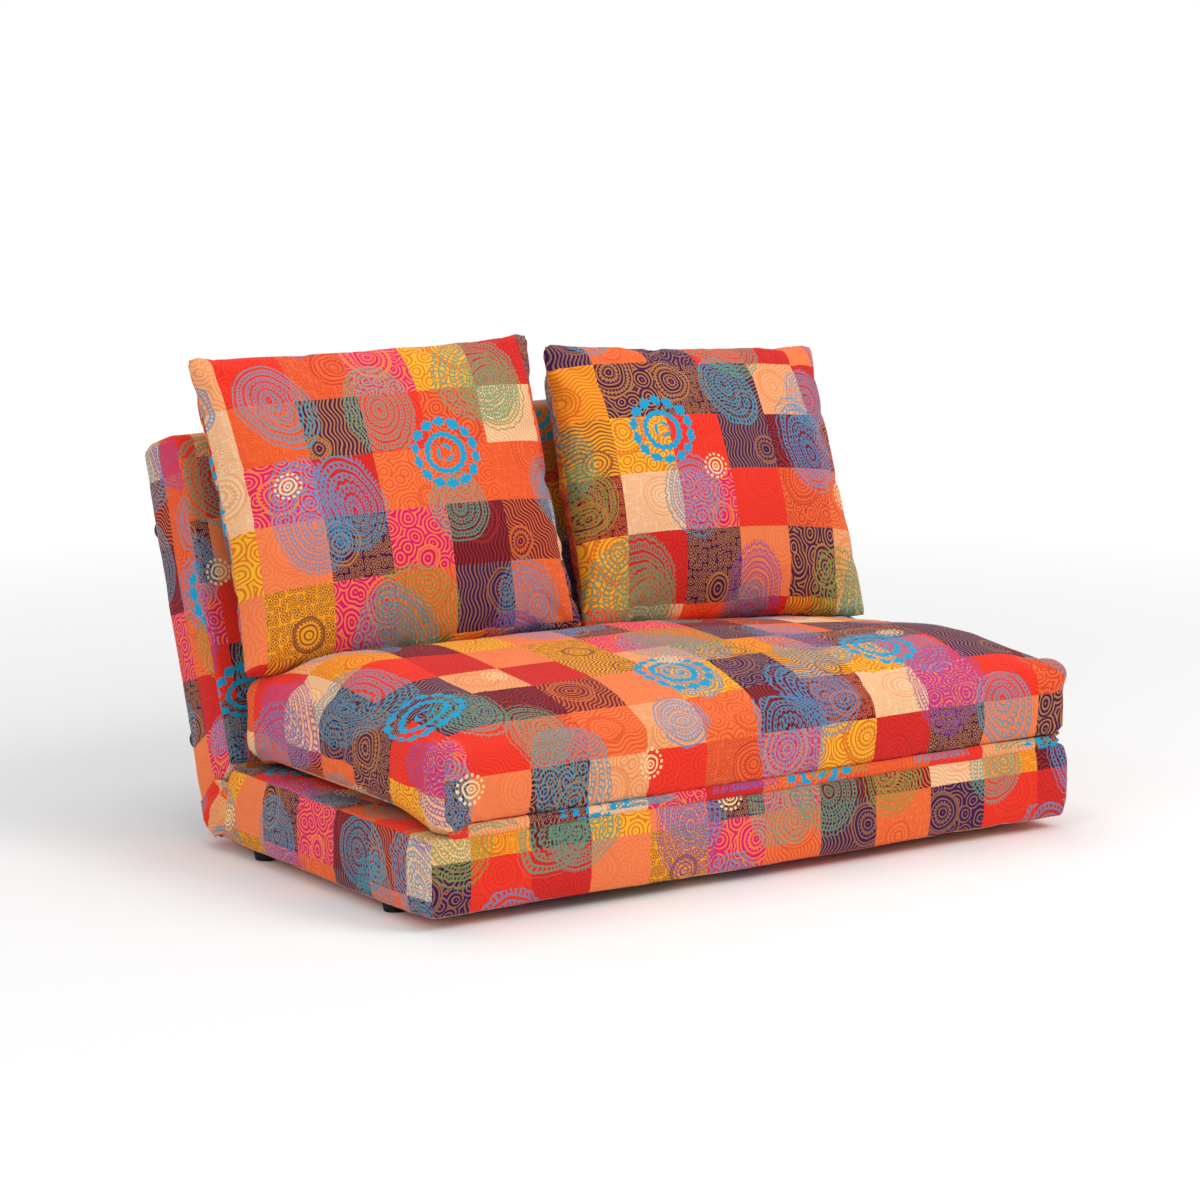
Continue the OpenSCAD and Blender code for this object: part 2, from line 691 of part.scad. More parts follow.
module seat_cover() {
    color("orangered") row_frame() difference() {
        seat_block(seat_side_shares, seat_crown_shares, 0, 4);
        seat_block(seat_coarse_side_shares, seat_coarse_crown_shares, cover_t, 2);
    }
}
module seat_foam() {
    color("ivory") row_frame()
        seat_block(seat_coarse_side_shares, seat_coarse_crown_shares, cover_t + soft_gap, 2);
}
module seat_zip() {
    length = zip_len_share * seat_w;
    z = seat_low + seat_t * seat_side_shares[2][0];
    color("black") row_frame() translate([seat_shift, seat_front + seat_len + soft_gap, z]) {
        translate([-length / 2, 0, -zip_tape_h / 2]) cube([length, zip_tape_t, zip_tape_h]);
        translate([length / 2 - zip_pull_w, zip_tape_t, -zip_pull_h / 2])
            cube([zip_pull_w, zip_pull_t, zip_pull_h]);
    }
}

module left_pillow_filling() color("white") left_pillow() pillow_filling(left_pillow_size);
module left_pillow_cover() color("tomato") left_pillow() pillow_cover(left_pillow_size);
module left_pillow_zip() color("black") left_pillow() pillow_zip(left_pillow_size);
module right_pillow_filling() color("white") right_pillow() pillow_filling(right_pillow_size);
module right_pillow_cover() color("tomato") right_pillow() pillow_cover(right_pillow_size);
module right_pillow_zip() color("black") right_pillow() pillow_zip(right_pillow_size);

base_frame();
base_webbing();
base_foam();
base_cover();
base_dust_cloth();
base_feet();
base_foot_screws();
base_hinge_bolts();
left_hinge_plate();
right_hinge_plate();
left_hinge_rivet();
right_hinge_rivet();
seat_welt();
back_frame();
back_webbing();
back_foam();
back_cover();
back_dust_cloth();
back_feet();
back_foot_screws();
back_hinge_bolts();
left_hinge_arm();
right_hinge_arm();
left_pawl_pin();
right_pawl_pin();
left_pawl_spring();
right_pawl_spring();
left_pawl();
right_pawl();
fold_gusset();
seat_foam();
seat_cover();
seat_zip();
left_pillow_filling();
left_pillow_cover();
left_pillow_zip();
right_pillow_filling();
right_pillow_cover();
right_pillow_zip();
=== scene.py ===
"""The looks of the fold-out sofa bed: its covers, pillows, zips and hinges, and the studio."""

import math

import bpy
import numpy as np
from mathutils import Matrix, Vector


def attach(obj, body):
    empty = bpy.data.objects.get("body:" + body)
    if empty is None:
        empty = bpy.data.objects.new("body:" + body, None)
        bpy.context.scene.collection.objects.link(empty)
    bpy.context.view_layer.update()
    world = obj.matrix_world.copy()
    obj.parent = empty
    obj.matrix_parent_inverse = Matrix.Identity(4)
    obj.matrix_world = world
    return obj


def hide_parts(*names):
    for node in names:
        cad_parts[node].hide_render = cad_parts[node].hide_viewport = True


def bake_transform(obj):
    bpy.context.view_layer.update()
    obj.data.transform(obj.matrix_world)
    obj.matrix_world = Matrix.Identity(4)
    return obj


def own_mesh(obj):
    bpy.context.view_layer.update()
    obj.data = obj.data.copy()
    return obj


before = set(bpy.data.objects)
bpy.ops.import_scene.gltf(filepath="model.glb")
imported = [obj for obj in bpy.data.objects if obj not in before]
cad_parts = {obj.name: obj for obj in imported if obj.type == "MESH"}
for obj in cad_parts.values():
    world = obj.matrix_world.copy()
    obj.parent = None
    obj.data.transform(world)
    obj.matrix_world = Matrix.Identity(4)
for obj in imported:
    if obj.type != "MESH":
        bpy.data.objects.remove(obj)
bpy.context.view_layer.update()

# Sizes of the frame, in metres: Y counts from the base's front face in the maker's drawing
HALF_DEPTH = 0.43759
HALF_W = 0.600
FOLD = Vector((0, 0.666 - HALF_DEPTH, 0.045))
BASE_LEN, BACK_LEN = 0.666, 0.600
LOW, TOP = -0.025, 0.093
LEAN = math.radians(18)
UPRIGHT = math.pi / 2 - LEAN
MITRE = math.radians(36)
SEAT_X = (-0.574, 0.598)
SEAT_Y = (0.0003 - HALF_DEPTH, 0.5923 - HALF_DEPTH)
SEAT_LOW, SEAT_EDGE, SEAT_CROWN, SEAT_ROUND = 0.1391, 0.2731, 0.046, 0.030
SEAT_ZIP_HEIGHT = 0.060
PILLOW_LEAN = math.radians(23)


# Camera
def add_object(name, data):
    made = bpy.data.objects.new(name, data)
    bpy.context.scene.collection.objects.link(made)
    return made


def place_camera():
    """The photograph's viewpoint: from the left, a little above the pillows' middle."""
    turn, rise, away = math.radians(-33.9), math.radians(10.74), 7.44415
    level = math.cos(rise)
    back = Vector((math.sin(turn) * level, -math.cos(turn) * level, math.sin(rise)))
    lens = bpy.data.cameras.new("studio_camera")
    lens.sensor_width = 36
    lens.lens = 4727.44 / 1200 * 36
    lens.clip_end = 60
    camera = add_object("studio_camera", lens)
    camera.location = Vector((-0.07399, -0.09733, 0.39116)) + back * away
    camera.rotation_mode = "QUATERNION"
    camera.rotation_quaternion = (-back).to_track_quat("-Z", "Y")
    bpy.context.scene.camera = camera


place_camera()
bpy.context.scene.view_settings.view_transform = "Standard"


# Cloth print and other finishes
def shade(code):
    """A colour from its six-figure code, as the shader wants it."""
    parts = [int(code[i:i + 2], 16) / 255 for i in (0, 2, 4)]
    return tuple(p / 12.92 if p <= 0.04045 else ((p + 0.055) / 1.055) ** 2.4 for p in parts) + (1,)


def maths(operation, swapped=False):
    """An operator between strands: one Math node."""
    def act(*values):
        return values[0].wiring.do(operation, *values[::-1 if swapped else 1])
    return act


class Strand:
    """A number on its way through a finish; arithmetic on it adds Math nodes."""

    __add__, __radd__ = maths("ADD"), maths("ADD", swapped=True)
    __sub__, __rsub__ = maths("SUBTRACT"), maths("SUBTRACT", swapped=True)
    __mul__, __rmul__ = maths("MULTIPLY"), maths("MULTIPLY", swapped=True)
    __gt__, __lt__ = maths("GREATER_THAN"), maths("LESS_THAN")
    __or__, __abs__ = maths("MAXIMUM"), maths("ABSOLUTE")

    def __init__(self, wiring, socket):
        self.wiring, self.socket = wiring, socket

    def __truediv__(self, number):
        return self * (1 / number)


class Wiring:
    """Adds nodes to one material or world and joins them up."""

    def __init__(self, owner):
        owner.use_nodes = True
        self.owner = owner
        self.tree = owner.node_tree

    def join(self, value, socket):
        if isinstance(value, Strand):
            value = value.socket
        if isinstance(value, bpy.types.NodeSocket):
            self.tree.links.new(value, socket)
        else:
            socket.default_value = value

    def node(self, kind, *values, out=0, sockets=(), **settings):
        """One node: its first inputs, other inputs, settings, and the output that is read."""
        made = self.tree.nodes.new(f"ShaderNode{kind}")
        for key, value in settings.items():
            setattr(made, key, value)
        for value, socket in zip(values, made.inputs):
            self.join(value, socket)
        for key, value in dict(sockets).items():
            self.join(value, made.inputs[key])
        return Strand(self, made.outputs[out])

    def do(self, operation, *values, clamp=False):
        return self.node("Math", *values, operation=operation, use_clamp=clamp)

    def floor(self, value):
        return self.do("FLOOR", value)

    def sine(self, value):
        return self.do("SINE", value)

    def wrap(self, value, top):
        return self.do("WRAP", value, top, 0.0)

    def length(self, x, y):
        return self.do("SQRT", x * x + y * y)

    def vec(self, x, y, z=0.0):
        return self.node("CombineXYZ", x, y, z)

    def part(self, vector):
        made = self.node("SeparateXYZ", vector).socket.node
        return [Strand(self, socket) for socket in made.outputs]

    def noise(self, vector, scale, detail=2.0, out="Fac"):
        return self.node("TexNoise", vector, out=out, sockets={"Scale": scale, "Detail": detail})

    def dice(self, x, y, seed):
        """Three random numbers for a cell."""
        place = self.vec(x, y, seed)
        return self.part(self.node("TexWhiteNoise", place, out="Color", noise_dimensions="3D"))

    def steps(self, value, codes):
        """One of several colours, picked by a number from 0 to 1."""
        made = self.node("ValToRGB", value)
        ramp = made.socket.node.color_ramp
        ramp.interpolation = "CONSTANT"
        while len(ramp.elements) < len(codes):
            ramp.elements.new(0.5)
        for i in range(len(codes)):
            ramp.elements[i].position = i / len(codes)
        for point, code in zip(ramp.elements, codes):
            point.color = shade(code)
        return made

    def seen(self):
        """1 for the eye, gloss and clear materials, 0 for the light that falls on the sofa."""
        rays = self.node("LightPath").socket.node.outputs
        eye, gloss, clear = [Strand(self, rays[f"Is {kind} Ray"])
                             for kind in ("Camera", "Glossy", "Transmission")]
        return eye | (gloss | clear)

    def mix(self, share, a, b, blend="MIX"):
        return self.node("Mix", share, out=2, data_type="RGBA", blend_type=blend,
                         sockets={6: a, 7: b})


class Finish(Wiring):
    """A new material, wired from the place on the piece to its shader."""

    def __init__(self, name):
        super().__init__(bpy.data.materials.new(name))
        self.shader = self.tree.nodes["Principled BSDF"]

    def place(self):
        return self.node("TexCoord", out="Object")

    def bump(self, height, strength, distance):
        made = self.node("Bump", strength, distance, sockets={"Height": height})
        self.join(made, self.shader.inputs["Normal"])

    def done(self, colour, roughness, **sockets):
        self.join(colour, self.shader.inputs["Base Color"])
        self.join(roughness, self.shader.inputs["Roughness"])
        for name, value in sockets.items():
            self.join(value, self.shader.inputs[name.replace("_", " ")])
        return self.owner


# Ground colour, line colour and strength of the lines of each kind of square
SQUARES = [
    ("F2622C", "D23A1C", 0.8), ("F4A01A", "5A1330", 0.9), ("5A0D1D", "B4262C", 0.8),
    ("EA2A1C", "F25A24", 0.5), ("F4743A", "E04A1E", 0.9), ("F7B428", "D9521A", 0.9),
    ("420E40", "EE9C3A", 0.75), ("DE0B68", "F48636", 0.95), ("F3AA74", "E9854A", 0.9),
    ("EF6230", "C4301E", 0.9), ("300D4C", "EE9C30", 0.62), ("F5A01E", "DE521C", 0.9),
    ("D8241A", "8E1226", 0.6), ("F4824C", "E9592A", 0.6), ("F2C79C", "EE9C62", 0.9),
    ("740F27", "E07030", 0.9),
]
SQUARE_U, SQUARE_V = 0.107, 0.100
RING_PITCH, LINE_PITCH = 0.0072, 0.0066
# The drops and discs: seed, distances between them, shift, and inks
MEDALLIONS = (
    (3.0, 0.205, 0.176, 0.05, ["4E9A86", "3F8FB2", "7E9440", "8A5A9C", "3E92A8"]),
    (8.0, 0.247, 0.219, 0.13, ["8F4C96", "3C8CBA", "5C9478", "9C4C92", "3A8EA4"]),
)
TURQUOISE, CREAM = "109CC8", "FAD79A"


def printed_cloth(name):
    """Patchwork print in squares, drawn over with rosettes, drops, leaf rings and small suns."""
    w = Finish(name)
    source = w.node("UVMap", uv_map="cloth")
    u, v, _ = w.part(source)
    # a hand-drawn wobble for everything but the squares
    wobble = w.part(w.noise(source, 26.0, 1.0, "Color"))
    du, dv = [(part - 0.5) * 0.011 for part in wobble[:2]]
    drawn_u, drawn_v = u + du, v + dv
    drawn = w.vec(drawn_u, drawn_v)

    def comb(value, pitch, share):
        """Lines a pitch apart, each a share of it wide."""
        return w.do("PINGPONG", value / pitch, 0.5) < share / 2

    def cells(scale, jitter):
        made = w.node("TexVoronoi", drawn, out="Distance", voronoi_dimensions="2D",
                      sockets={"Scale": scale, "Randomness": jitter})
        return made / scale

    def between(value, low, high):
        return (value > low) * (value < high)

    # the squares
    cu, cv = u / SQUARE_U, v / SQUARE_V
    iu, iv = w.floor(cu), w.floor(cv)
    fu, fv = cu - iu - 0.5, cv - iv - 0.5
    a, b, c = w.dice(w.wrap(iu, 9.0), w.wrap(iv, 8.0), 4.0)
    ground, ink = [w.steps(a, [square[k] for square in SQUARES]) for k in (0, 1)]
    greys = [f"{round(255 * square[2]):02X}" * 3 for square in SQUARES]
    strength = w.node("RGBToBW", w.steps(a, greys))
    # a rosette in each square, off its middle: rings, beads and spokes
    x = (fu - (b - 0.5) * 0.7) * SQUARE_U + du
    y = (fv - (c - 0.5) * 0.7) * SQUARE_V + dv
    r, angle = w.length(x, y), w.do("ARCTAN2", y, x)
    row = w.floor(r / RING_PITCH + 0.5)
    spokes = w.sine(angle * (5.0 + row * 6.0)) > 0.15
    beaded = spokes * (w.wrap(row + w.do("ROUND", b * 3.0), 3.0) > 1.5)
    rosette = comb(r, RING_PITCH, 0.36) | beaded * (r > 0.008)
    reach = 0.016 + c * 0.026
    # round it: nested shells, drifting waves, or dots
    shells = comb(cells(31.0, 0.9), LINE_PITCH, 0.40)
    heading = b * math.tau
    ahead, aside = w.do("COSINE", heading), w.sine(heading)
    along, across = drawn_u * ahead + drawn_v * aside, drawn_v * ahead - drawn_u * aside
    waves = comb(along + w.sine(across * 150.0) * 0.0035, 0.0068, 0.42)
    dot = cells(105.0, 0.45)
    dots = (dot < 0.0017) | between(dot, 0.0034, 0.0046)
    kind = w.do("FRACT", a * 7.0 + b * 5.0)
    around = shells * (kind < 0.45) + (waves * between(kind, 0.45, 0.72) + dots * (kind > 0.72))
    inner = r < reach
    rim = between(r, reach + 0.0005, reach + 0.0038)
    lines = inner * rosette + (1.0 - inner) * around | rim
    colour = w.mix(lines * strength, ground, ink)

    def layout(size_u, size_v, shift, seed, jitter, stretch=0.0):
        """Polar places and dice of a bigger, staggered layout of motifs."""
        lv = (drawn_v + shift) / size_v
        jv = w.floor(lv)
        lu = (drawn_u + shift) / size_u + w.wrap(jv, 2.0) * 0.5
        ju = w.floor(lu)
        p, q, s = w.dice(w.wrap(ju, 6.0), w.wrap(jv, 6.0), seed)
        dx = (lu - ju - 0.5 - (p - 0.5) * jitter) * ((1.0 + s * stretch) * size_u)
        dy = (lv - jv - 0.5 - (q - 0.5) * jitter) * size_v
        return w.length(dx, dy), w.do("ARCTAN2", dy, dx), p, q, s

    # big drops and discs of fine lines, through which the squares still show
    for seed, size_u, size_v, shift, inks in MEDALLIONS:
        r, angle, p, q, s = layout(size_u, size_v, shift, seed, 0.25, 0.35)
        tail = w.do("POWER", (1.0 + w.do("COSINE", angle - q * math.tau)) * 0.5, 4.0)
        shape = r * (1.0 - tail * ((p > 0.35) * 0.40))
        scallop = abs(w.sine(angle * 12.0))
        shape = shape + scallop * ((w.do("PINGPONG", shape * 40.0, 1.0) > 0.55) * -0.0030)
        inside = (shape < 0.047 + s * 0.035) * (s > 0.22)
        rows = w.floor(shape / LINE_PITCH)
        rungs = w.sine(angle * (9.0 + rows * 6.0)) > 0.30
        ladder = rungs * (w.wrap(rows + w.do("ROUND", p * 4.0), 2.0) > 0.5)
        ladder = ladder * comb(shape + LINE_PITCH / 2, LINE_PITCH, 0.62)
        marks = (comb(shape, LINE_PITCH, 0.34) | ladder) * inside
        colour = w.mix(marks * 0.82, colour, w.steps(q, inks))
    # bold turquoise leaf rings
    r, angle = layout(0.43, 0.395, 0.31, 5.0, 0.12)[:2]
    leaf = abs(w.sine(angle * 7.0))
    lobes = abs(w.sine(angle * 21.0 + r * 260.0))
    outer = abs(r - 0.055) < leaf * (0.0050 + lobes * 0.0056)
    teeth = abs(w.sine(angle * 9.0 + r * -180.0))
    middle = abs(r - 0.033) < 0.0026 + teeth * 0.0036
    heart = abs(r - 0.013) < abs(w.sine(angle * 1.5)) * 0.0030
    colour = w.mix(outer | middle | heart, colour, shade(TURQUOISE))
    # small cream suns
    r, angle, _, _, s = layout(0.365, 0.31, 0.19, 7.0, 0.3)
    rays = between(r, 0.0185, 0.0225) * (w.sine(angle * 14.0) > -0.1)
    sun = rays | between(r, 0.0115, 0.0145) | between(r, 0.0045, 0.0075)
    colour = w.mix((sun | (r < 0.0022)) * (s > 0.35), colour, shade(CREAM))
    # the cloth itself: plain weave, slubs and slight fading
    thread = w.sine(u * 7000.0) * w.sine(v * 7000.0)
    slub = w.noise(w.vec(u * 60.0, v * 900.0), 1.0)
    worn = w.noise(source, 9.0, 4.0)
    tone = 0.90 + (slub * 0.10 + worn * 0.10)
    colour = w.mix(1.0, colour, w.vec(tone, tone, tone), "MULTIPLY")
    w.bump(thread * 0.5 + slub * 0.8, 0.25, 0.0004)
    return w.done(colour, 0.76 + worn * 0.16, Sheen_Weight=0.05, Sheen_Roughness=0.5,
                  Specular_IOR_Level=0.22)


def woven(name, code, other, pitch, rough):
    """A plain woven finish read from the piece's own place: webbing, dust cloth or zip tape."""
    w = Finish(name)
    place = w.place()
    x, y, z = w.part(place)
    weave = w.sine(x * (math.tau / pitch)) * w.sine((y + z) * (math.tau / pitch))
    mottled = w.noise(place, 55.0, 4.0)
    share = w.do("ADD", weave * 0.25, mottled, clamp=True)
    w.bump(weave, 0.4, pitch / 4)
    return w.done(w.mix(share, shade(code), shade(other)), rough - 0.05 + mottled * 0.1)


def metal(name, code, other, rough):
    """Drawn or plated steel, with rolling marks and a few dull patches."""
    w = Finish(name)
    place = w.place()
    x, y, z = w.part(place)
    streaks = w.noise(w.vec(x * 4.0, y * 90.0, z * 400.0), 3.0)
    patches = w.noise(place, 28.0, 5.0)
    w.bump(streaks, 0.12, 0.0003)
    colour = w.mix(patches, shade(code), shade(other))
    return w.done(colour, rough + patches * 0.18, Metallic=1.0)


def plastic(name, code, other):
    """Moulded plastic with a fine grain."""
    w = Finish(name)
    place = w.place()
    cloudy = w.noise(place, 30.0, 3.0)
    w.bump(w.noise(place, 900.0, 2.0), 0.25, 0.0003)
    colour = w.mix(cloudy, shade(code), shade(other))
    return w.done(colour, 0.55 + cloudy * 0.15, Specular_IOR_Level=0.2)


PRINT = printed_cloth("printed_cotton")
DUST = woven("dust_cloth_black", "141416", "26262A", 0.002, 0.95)
WEBBING = woven("elastic_webbing", "B79B6C", "8E7549", 0.004, 0.85)
ZIP_TAPE = woven("zip_tape", "181416", "2A2226", 0.0012, 0.8)
TUBE = metal("painted_tube", "4A4C50", "2F3135", 0.45)
PLATED = metal("zinc_plated", "B9BDC0", "8C9094", 0.28)
SPRING = metal("spring_steel", "8A8C90", "5C5F66", 0.32)
BLACK = plastic("black_plastic", "0E0E10", "19191B")


# Shapes of soft goods
# Large odd numbers that scatter the corners of the noise's lattice
NOISE_PRIMES = (73856093, 19349663, 83492791)
NOISE_SEED_STEP, NOISE_STIR = 2654435, 1274126177


def lattice_noise(points, size, seed):
    """Smooth random numbers from -1 to 1 over space, for wrinkles and uneven stuffing."""
    scaled = points / size + seed * 17.31
    whole = np.floor(scaled).astype(np.int64)
    part = scaled - whole
    part = part * part * (3 - 2 * part)
    total = np.zeros(len(points))
    for corner in range(8):
        offset = np.array([(corner >> k) & 1 for k in range(3)])
        keys = (whole + offset) * NOISE_PRIMES
        mixed = keys[:, 0] ^ keys[:, 1] ^ keys[:, 2] ^ seed * NOISE_SEED_STEP
        mixed = (mixed ^ (mixed >> 13)) * NOISE_STIR & 0x7FFFFFFF
        value = (mixed % 65536) / 32768 - 1
        total += np.prod(np.where(offset == 1, part, 1 - part), axis=1) * value
    return total


def smooth(t):
    """Eases from 0 to 1, and stays there outside that range."""
    t = np.clip(t, 0, 1)
    return t * t * (3 - 2 * t)


def near(gap, reach):
    """1 at an edge, easing to 0 where the gap to it is as long as the reach."""
    return 1 - smooth(gap / reach)


def bump_at(distance, size):
    """A soft round bump: 1 in its middle, 0 a little past its size."""
    return np.exp(-(distance / size) ** 2)


def spread(count, crowd):
    """Numbers from -1 to 1, closer together at the ends."""
    t = np.linspace(-1, 1, count + 1)
    return t * (1 - crowd) + np.sin(t * math.pi / 2) * crowd


def lengths(vectors):
    return np.linalg.norm(vectors, axis=1, keepdims=True)


def run_along(line):
    """How far each point of a line lies along it."""
    steps = np.linalg.norm(np.diff(np.array(line), axis=0), axis=1)
    return np.concatenate([[0], np.cumsum(steps)])


RIGHT, LEFT, FAR, NEAR, UPPER, UNDER = range(6)


def boxed_pad(half, counts, round_r, crowd):
    """A sewn box: its points, its faces, each face corner's flat place, and each face's panel."""
    index, points, faces, flats, panels = {}, [], [], [], []
    spans = [spread(counts[k], crowd) * half[k] for k in range(3)]

    def vertex(key):
        if key not in index:
            index[key] = len(points)
            points.append([spans[k][key[k]] for k in range(3)])
        return index[key]

    for panel in range(6):
        fixed, sign = panel // 2, 1 - 2 * (panel % 2)
        a, b = [k for k in range(3) if k != fixed]
        level = counts[fixed] if sign > 0 else 0
        for i in range(counts[a]):
            for j in range(counts[b]):
                ring = [(i, j), (i + 1, j), (i + 1, j + 1), (i, j + 1)]
                if (sign > 0) == (fixed == 1):
                    ring.reverse()
                keys = [pair[:fixed] + (level,) + pair[fixed:] for pair in ring]
                faces.append([vertex(key) for key in keys])
                flats.append([(spans[a][key[a]], spans[b][key[b]]) for key in keys])
                panels.append(panel)
    points = np.array(points)
    inner = np.clip(points, round_r - half, half - round_r)
    out = points - inner
    points = inner + out / np.maximum(lengths(out), 1e-9) * round_r
    return points, faces, flats, panels


def lay(flats, panels, shift_u, shift_v, rules):
    """Lays a sewn box's cloth flat, each panel by its own rule, and shifts it on the print."""
    places = [[rules[panel](a, b) for a, b in face] for face, panel in zip(flats, panels)]
    return [[(a + shift_u, b + shift_v) for a, b in face] for face in places]


def mesh_of(name, points, faces, flats, material):
    """A mesh object from points and faces, with the cloth's flat places in its own map."""
    mesh = bpy.data.meshes.new(name)
    mesh.from_pydata([tuple(p) for p in points], [], faces)
    if flats is not None:
        places = np.array([place for face in flats for place in face], np.float32)
        mesh.uv_layers.new(name="cloth").data.foreach_set("uv", places.ravel())
    mesh.update()
    mesh.materials.append(material)
    mesh.polygons.foreach_set("use_smooth", [True] * len(mesh.polygons))
    return add_object(name, mesh)


def woven_sheet(name, rows, flat_rows, material, closed=False):
    """A mesh from rows of points and the same rows laid flat; closed joins last to first."""
    high, wide = len(rows), len(rows[0])
    faces, flats = [], []
    for j in range(high if closed else high - 1):
        for i in range(wide - 1):
            ring = [(j, i), (j, i + 1), (j + 1, i + 1), (j + 1, i)]
            faces.append([(q % high) * wide + p for q, p in ring])
            flats.append([flat_rows[q][p] for q, p in ring])
    return mesh_of(name, [p for row in rows for p in row], faces, flats, material)


def normals_of(points, faces):
    """Area-weighted normals at the points."""
    faces = np.array(faces)
    corners = points[faces]
    normal = np.cross(corners[:, 2] - corners[:, 0], corners[:, 3] - corners[:, 1])
    out = np.zeros_like(points)
    for k in range(4):
        np.add.at(out, faces[:, k], normal)
    return out / np.maximum(lengths(out), 1e-12)


def points_of(made):
    co = np.zeros(len(made.data.vertices) * 3, np.float32)
    made.data.vertices.foreach_get("co", co)
    return co.reshape(-1, 3).astype(float)


def put_points(made, points):
    made.data.vertices.foreach_set("co", points.astype(np.float32).ravel())
    made.data.update()


def evened(made, values, rounds):
    """Averages values over neighbouring points, again and again."""
    pairs = np.zeros(len(made.data.edges) * 2, np.int32)
    made.data.edges.foreach_get("vertices", pairs)
    one, other = pairs.reshape(-1, 2).T
    size = len(values)
    count = np.bincount(one, minlength=size) + np.bincount(other, minlength=size)
    for _ in range(rounds):
        sums = [np.bincount(one, column[other], size) + np.bincount(other, column[one], size)
                for column in values.T]
        total = np.stack(sums, axis=1)
        values = 0.5 * values + 0.5 * total / count[:, None]
    return values


# How much of the broad swelling is taken back once the cloth has creased
TAKEN_BACK = 0.9


def puff(made, frames, pressure, cap, slack, stiff, bend, hold=None):
    """Lets the cover swell like stuffed cloth: its creases stay, with a share of the swelling."""
    scene = bpy.context.scene
    before = points_of(made)
    cloth = made.modifiers.new("cloth", "CLOTH")
    s = cloth.settings
    if hold is not None:
        group = made.vertex_groups.new(name="held")
        for share in sorted(set(np.round(hold, 2))):
            if share > 0:
                held = np.nonzero(np.abs(hold - share) < 0.006)[0]
                group.add(held.tolist(), float(share), "REPLACE")
        s.vertex_group_mass = "held"
    s.quality = 5
    s.mass = 0.3
    s.tension_stiffness = s.compression_stiffness = stiff
    s.shear_stiffness = stiff * 0.5
    s.bending_stiffness = bend
    s.tension_damping = s.compression_damping = 10
    s.air_damping = 4
    s.use_pressure = True
    s.uniform_pressure_force = pressure
    s.shrink_min = -slack
    s.effector_weights.gravity = 0
    cloth.point_cache.frame_start, cloth.point_cache.frame_end = 1, frames
    for number in range(1, frames + 1):
        scene.frame_set(number)
    move = points_of(made.evaluated_get(bpy.context.evaluated_depsgraph_get())) - before
    made.modifiers.remove(cloth)
    scene.frame_set(1)
    move -= evened(made, move, 70) * TAKEN_BACK
    length = lengths(move)
    move *= np.tanh(length / cap) * cap / np.maximum(length, 1e-9)
    put_points(made, before + move)


def dress(made, body, fill, *nodes):
    """Attaches a stuffed cover to its body and hides the nodes that it replaces."""
    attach(made, body)
    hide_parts(*nodes)


# Made as by hand
def pick(*pieces):
    """Selects these pieces alone, the first as the active one."""
    bpy.ops.object.select_all(action="DESELECT")
    for piece in pieces:
        piece.select_set(True)
    bpy.context.view_layer.objects.active = pieces[0]


def enter(mode):
    bpy.ops.object.mode_set(mode=mode)


def thicken(made, thickness):
    """Gives a sheet its thickness, half to each side."""
    wall = made.modifiers.new("wall", "SOLIDIFY")
    wall.thickness = thickness
    wall.offset = 0
    pick(made)
    bpy.ops.object.modifier_apply(modifier=wall.name)


def add_block(name, size, place, bevel):
    """A box with rounded edges."""
    bpy.ops.object.select_all(action="DESELECT")
    bpy.ops.mesh.primitive_cube_add(size=1, location=place)
    made = bpy.context.object
    made.name = name
    enter("EDIT")
    bpy.ops.transform.resize(value=size)
    bpy.ops.mesh.bevel(offset=bevel, segments=2, affect="EDGES")
    enter("OBJECT")
    bpy.ops.object.transform_apply(location=True, rotation=True, scale=True)
    return made


def copies(name, model, frames_of, material):
    """One mesh with a copy of the model at each place, given with its along, up and side."""
    base = points_of(model)
    shapes = [list(face.vertices) for face in model.data.polygons]
    points, faces = [], []
    for place, along, up, side in frames_of:
        faces += [[k + len(points) for k in shape] for shape in shapes]
        points += list(place + base @ np.array([along, side, up]))
    bpy.data.objects.remove(model)
    made = mesh_of(name, points, faces, None, material)
    pick(made)
    bpy.ops.object.shade_smooth_by_angle(angle=0.6)
    return made


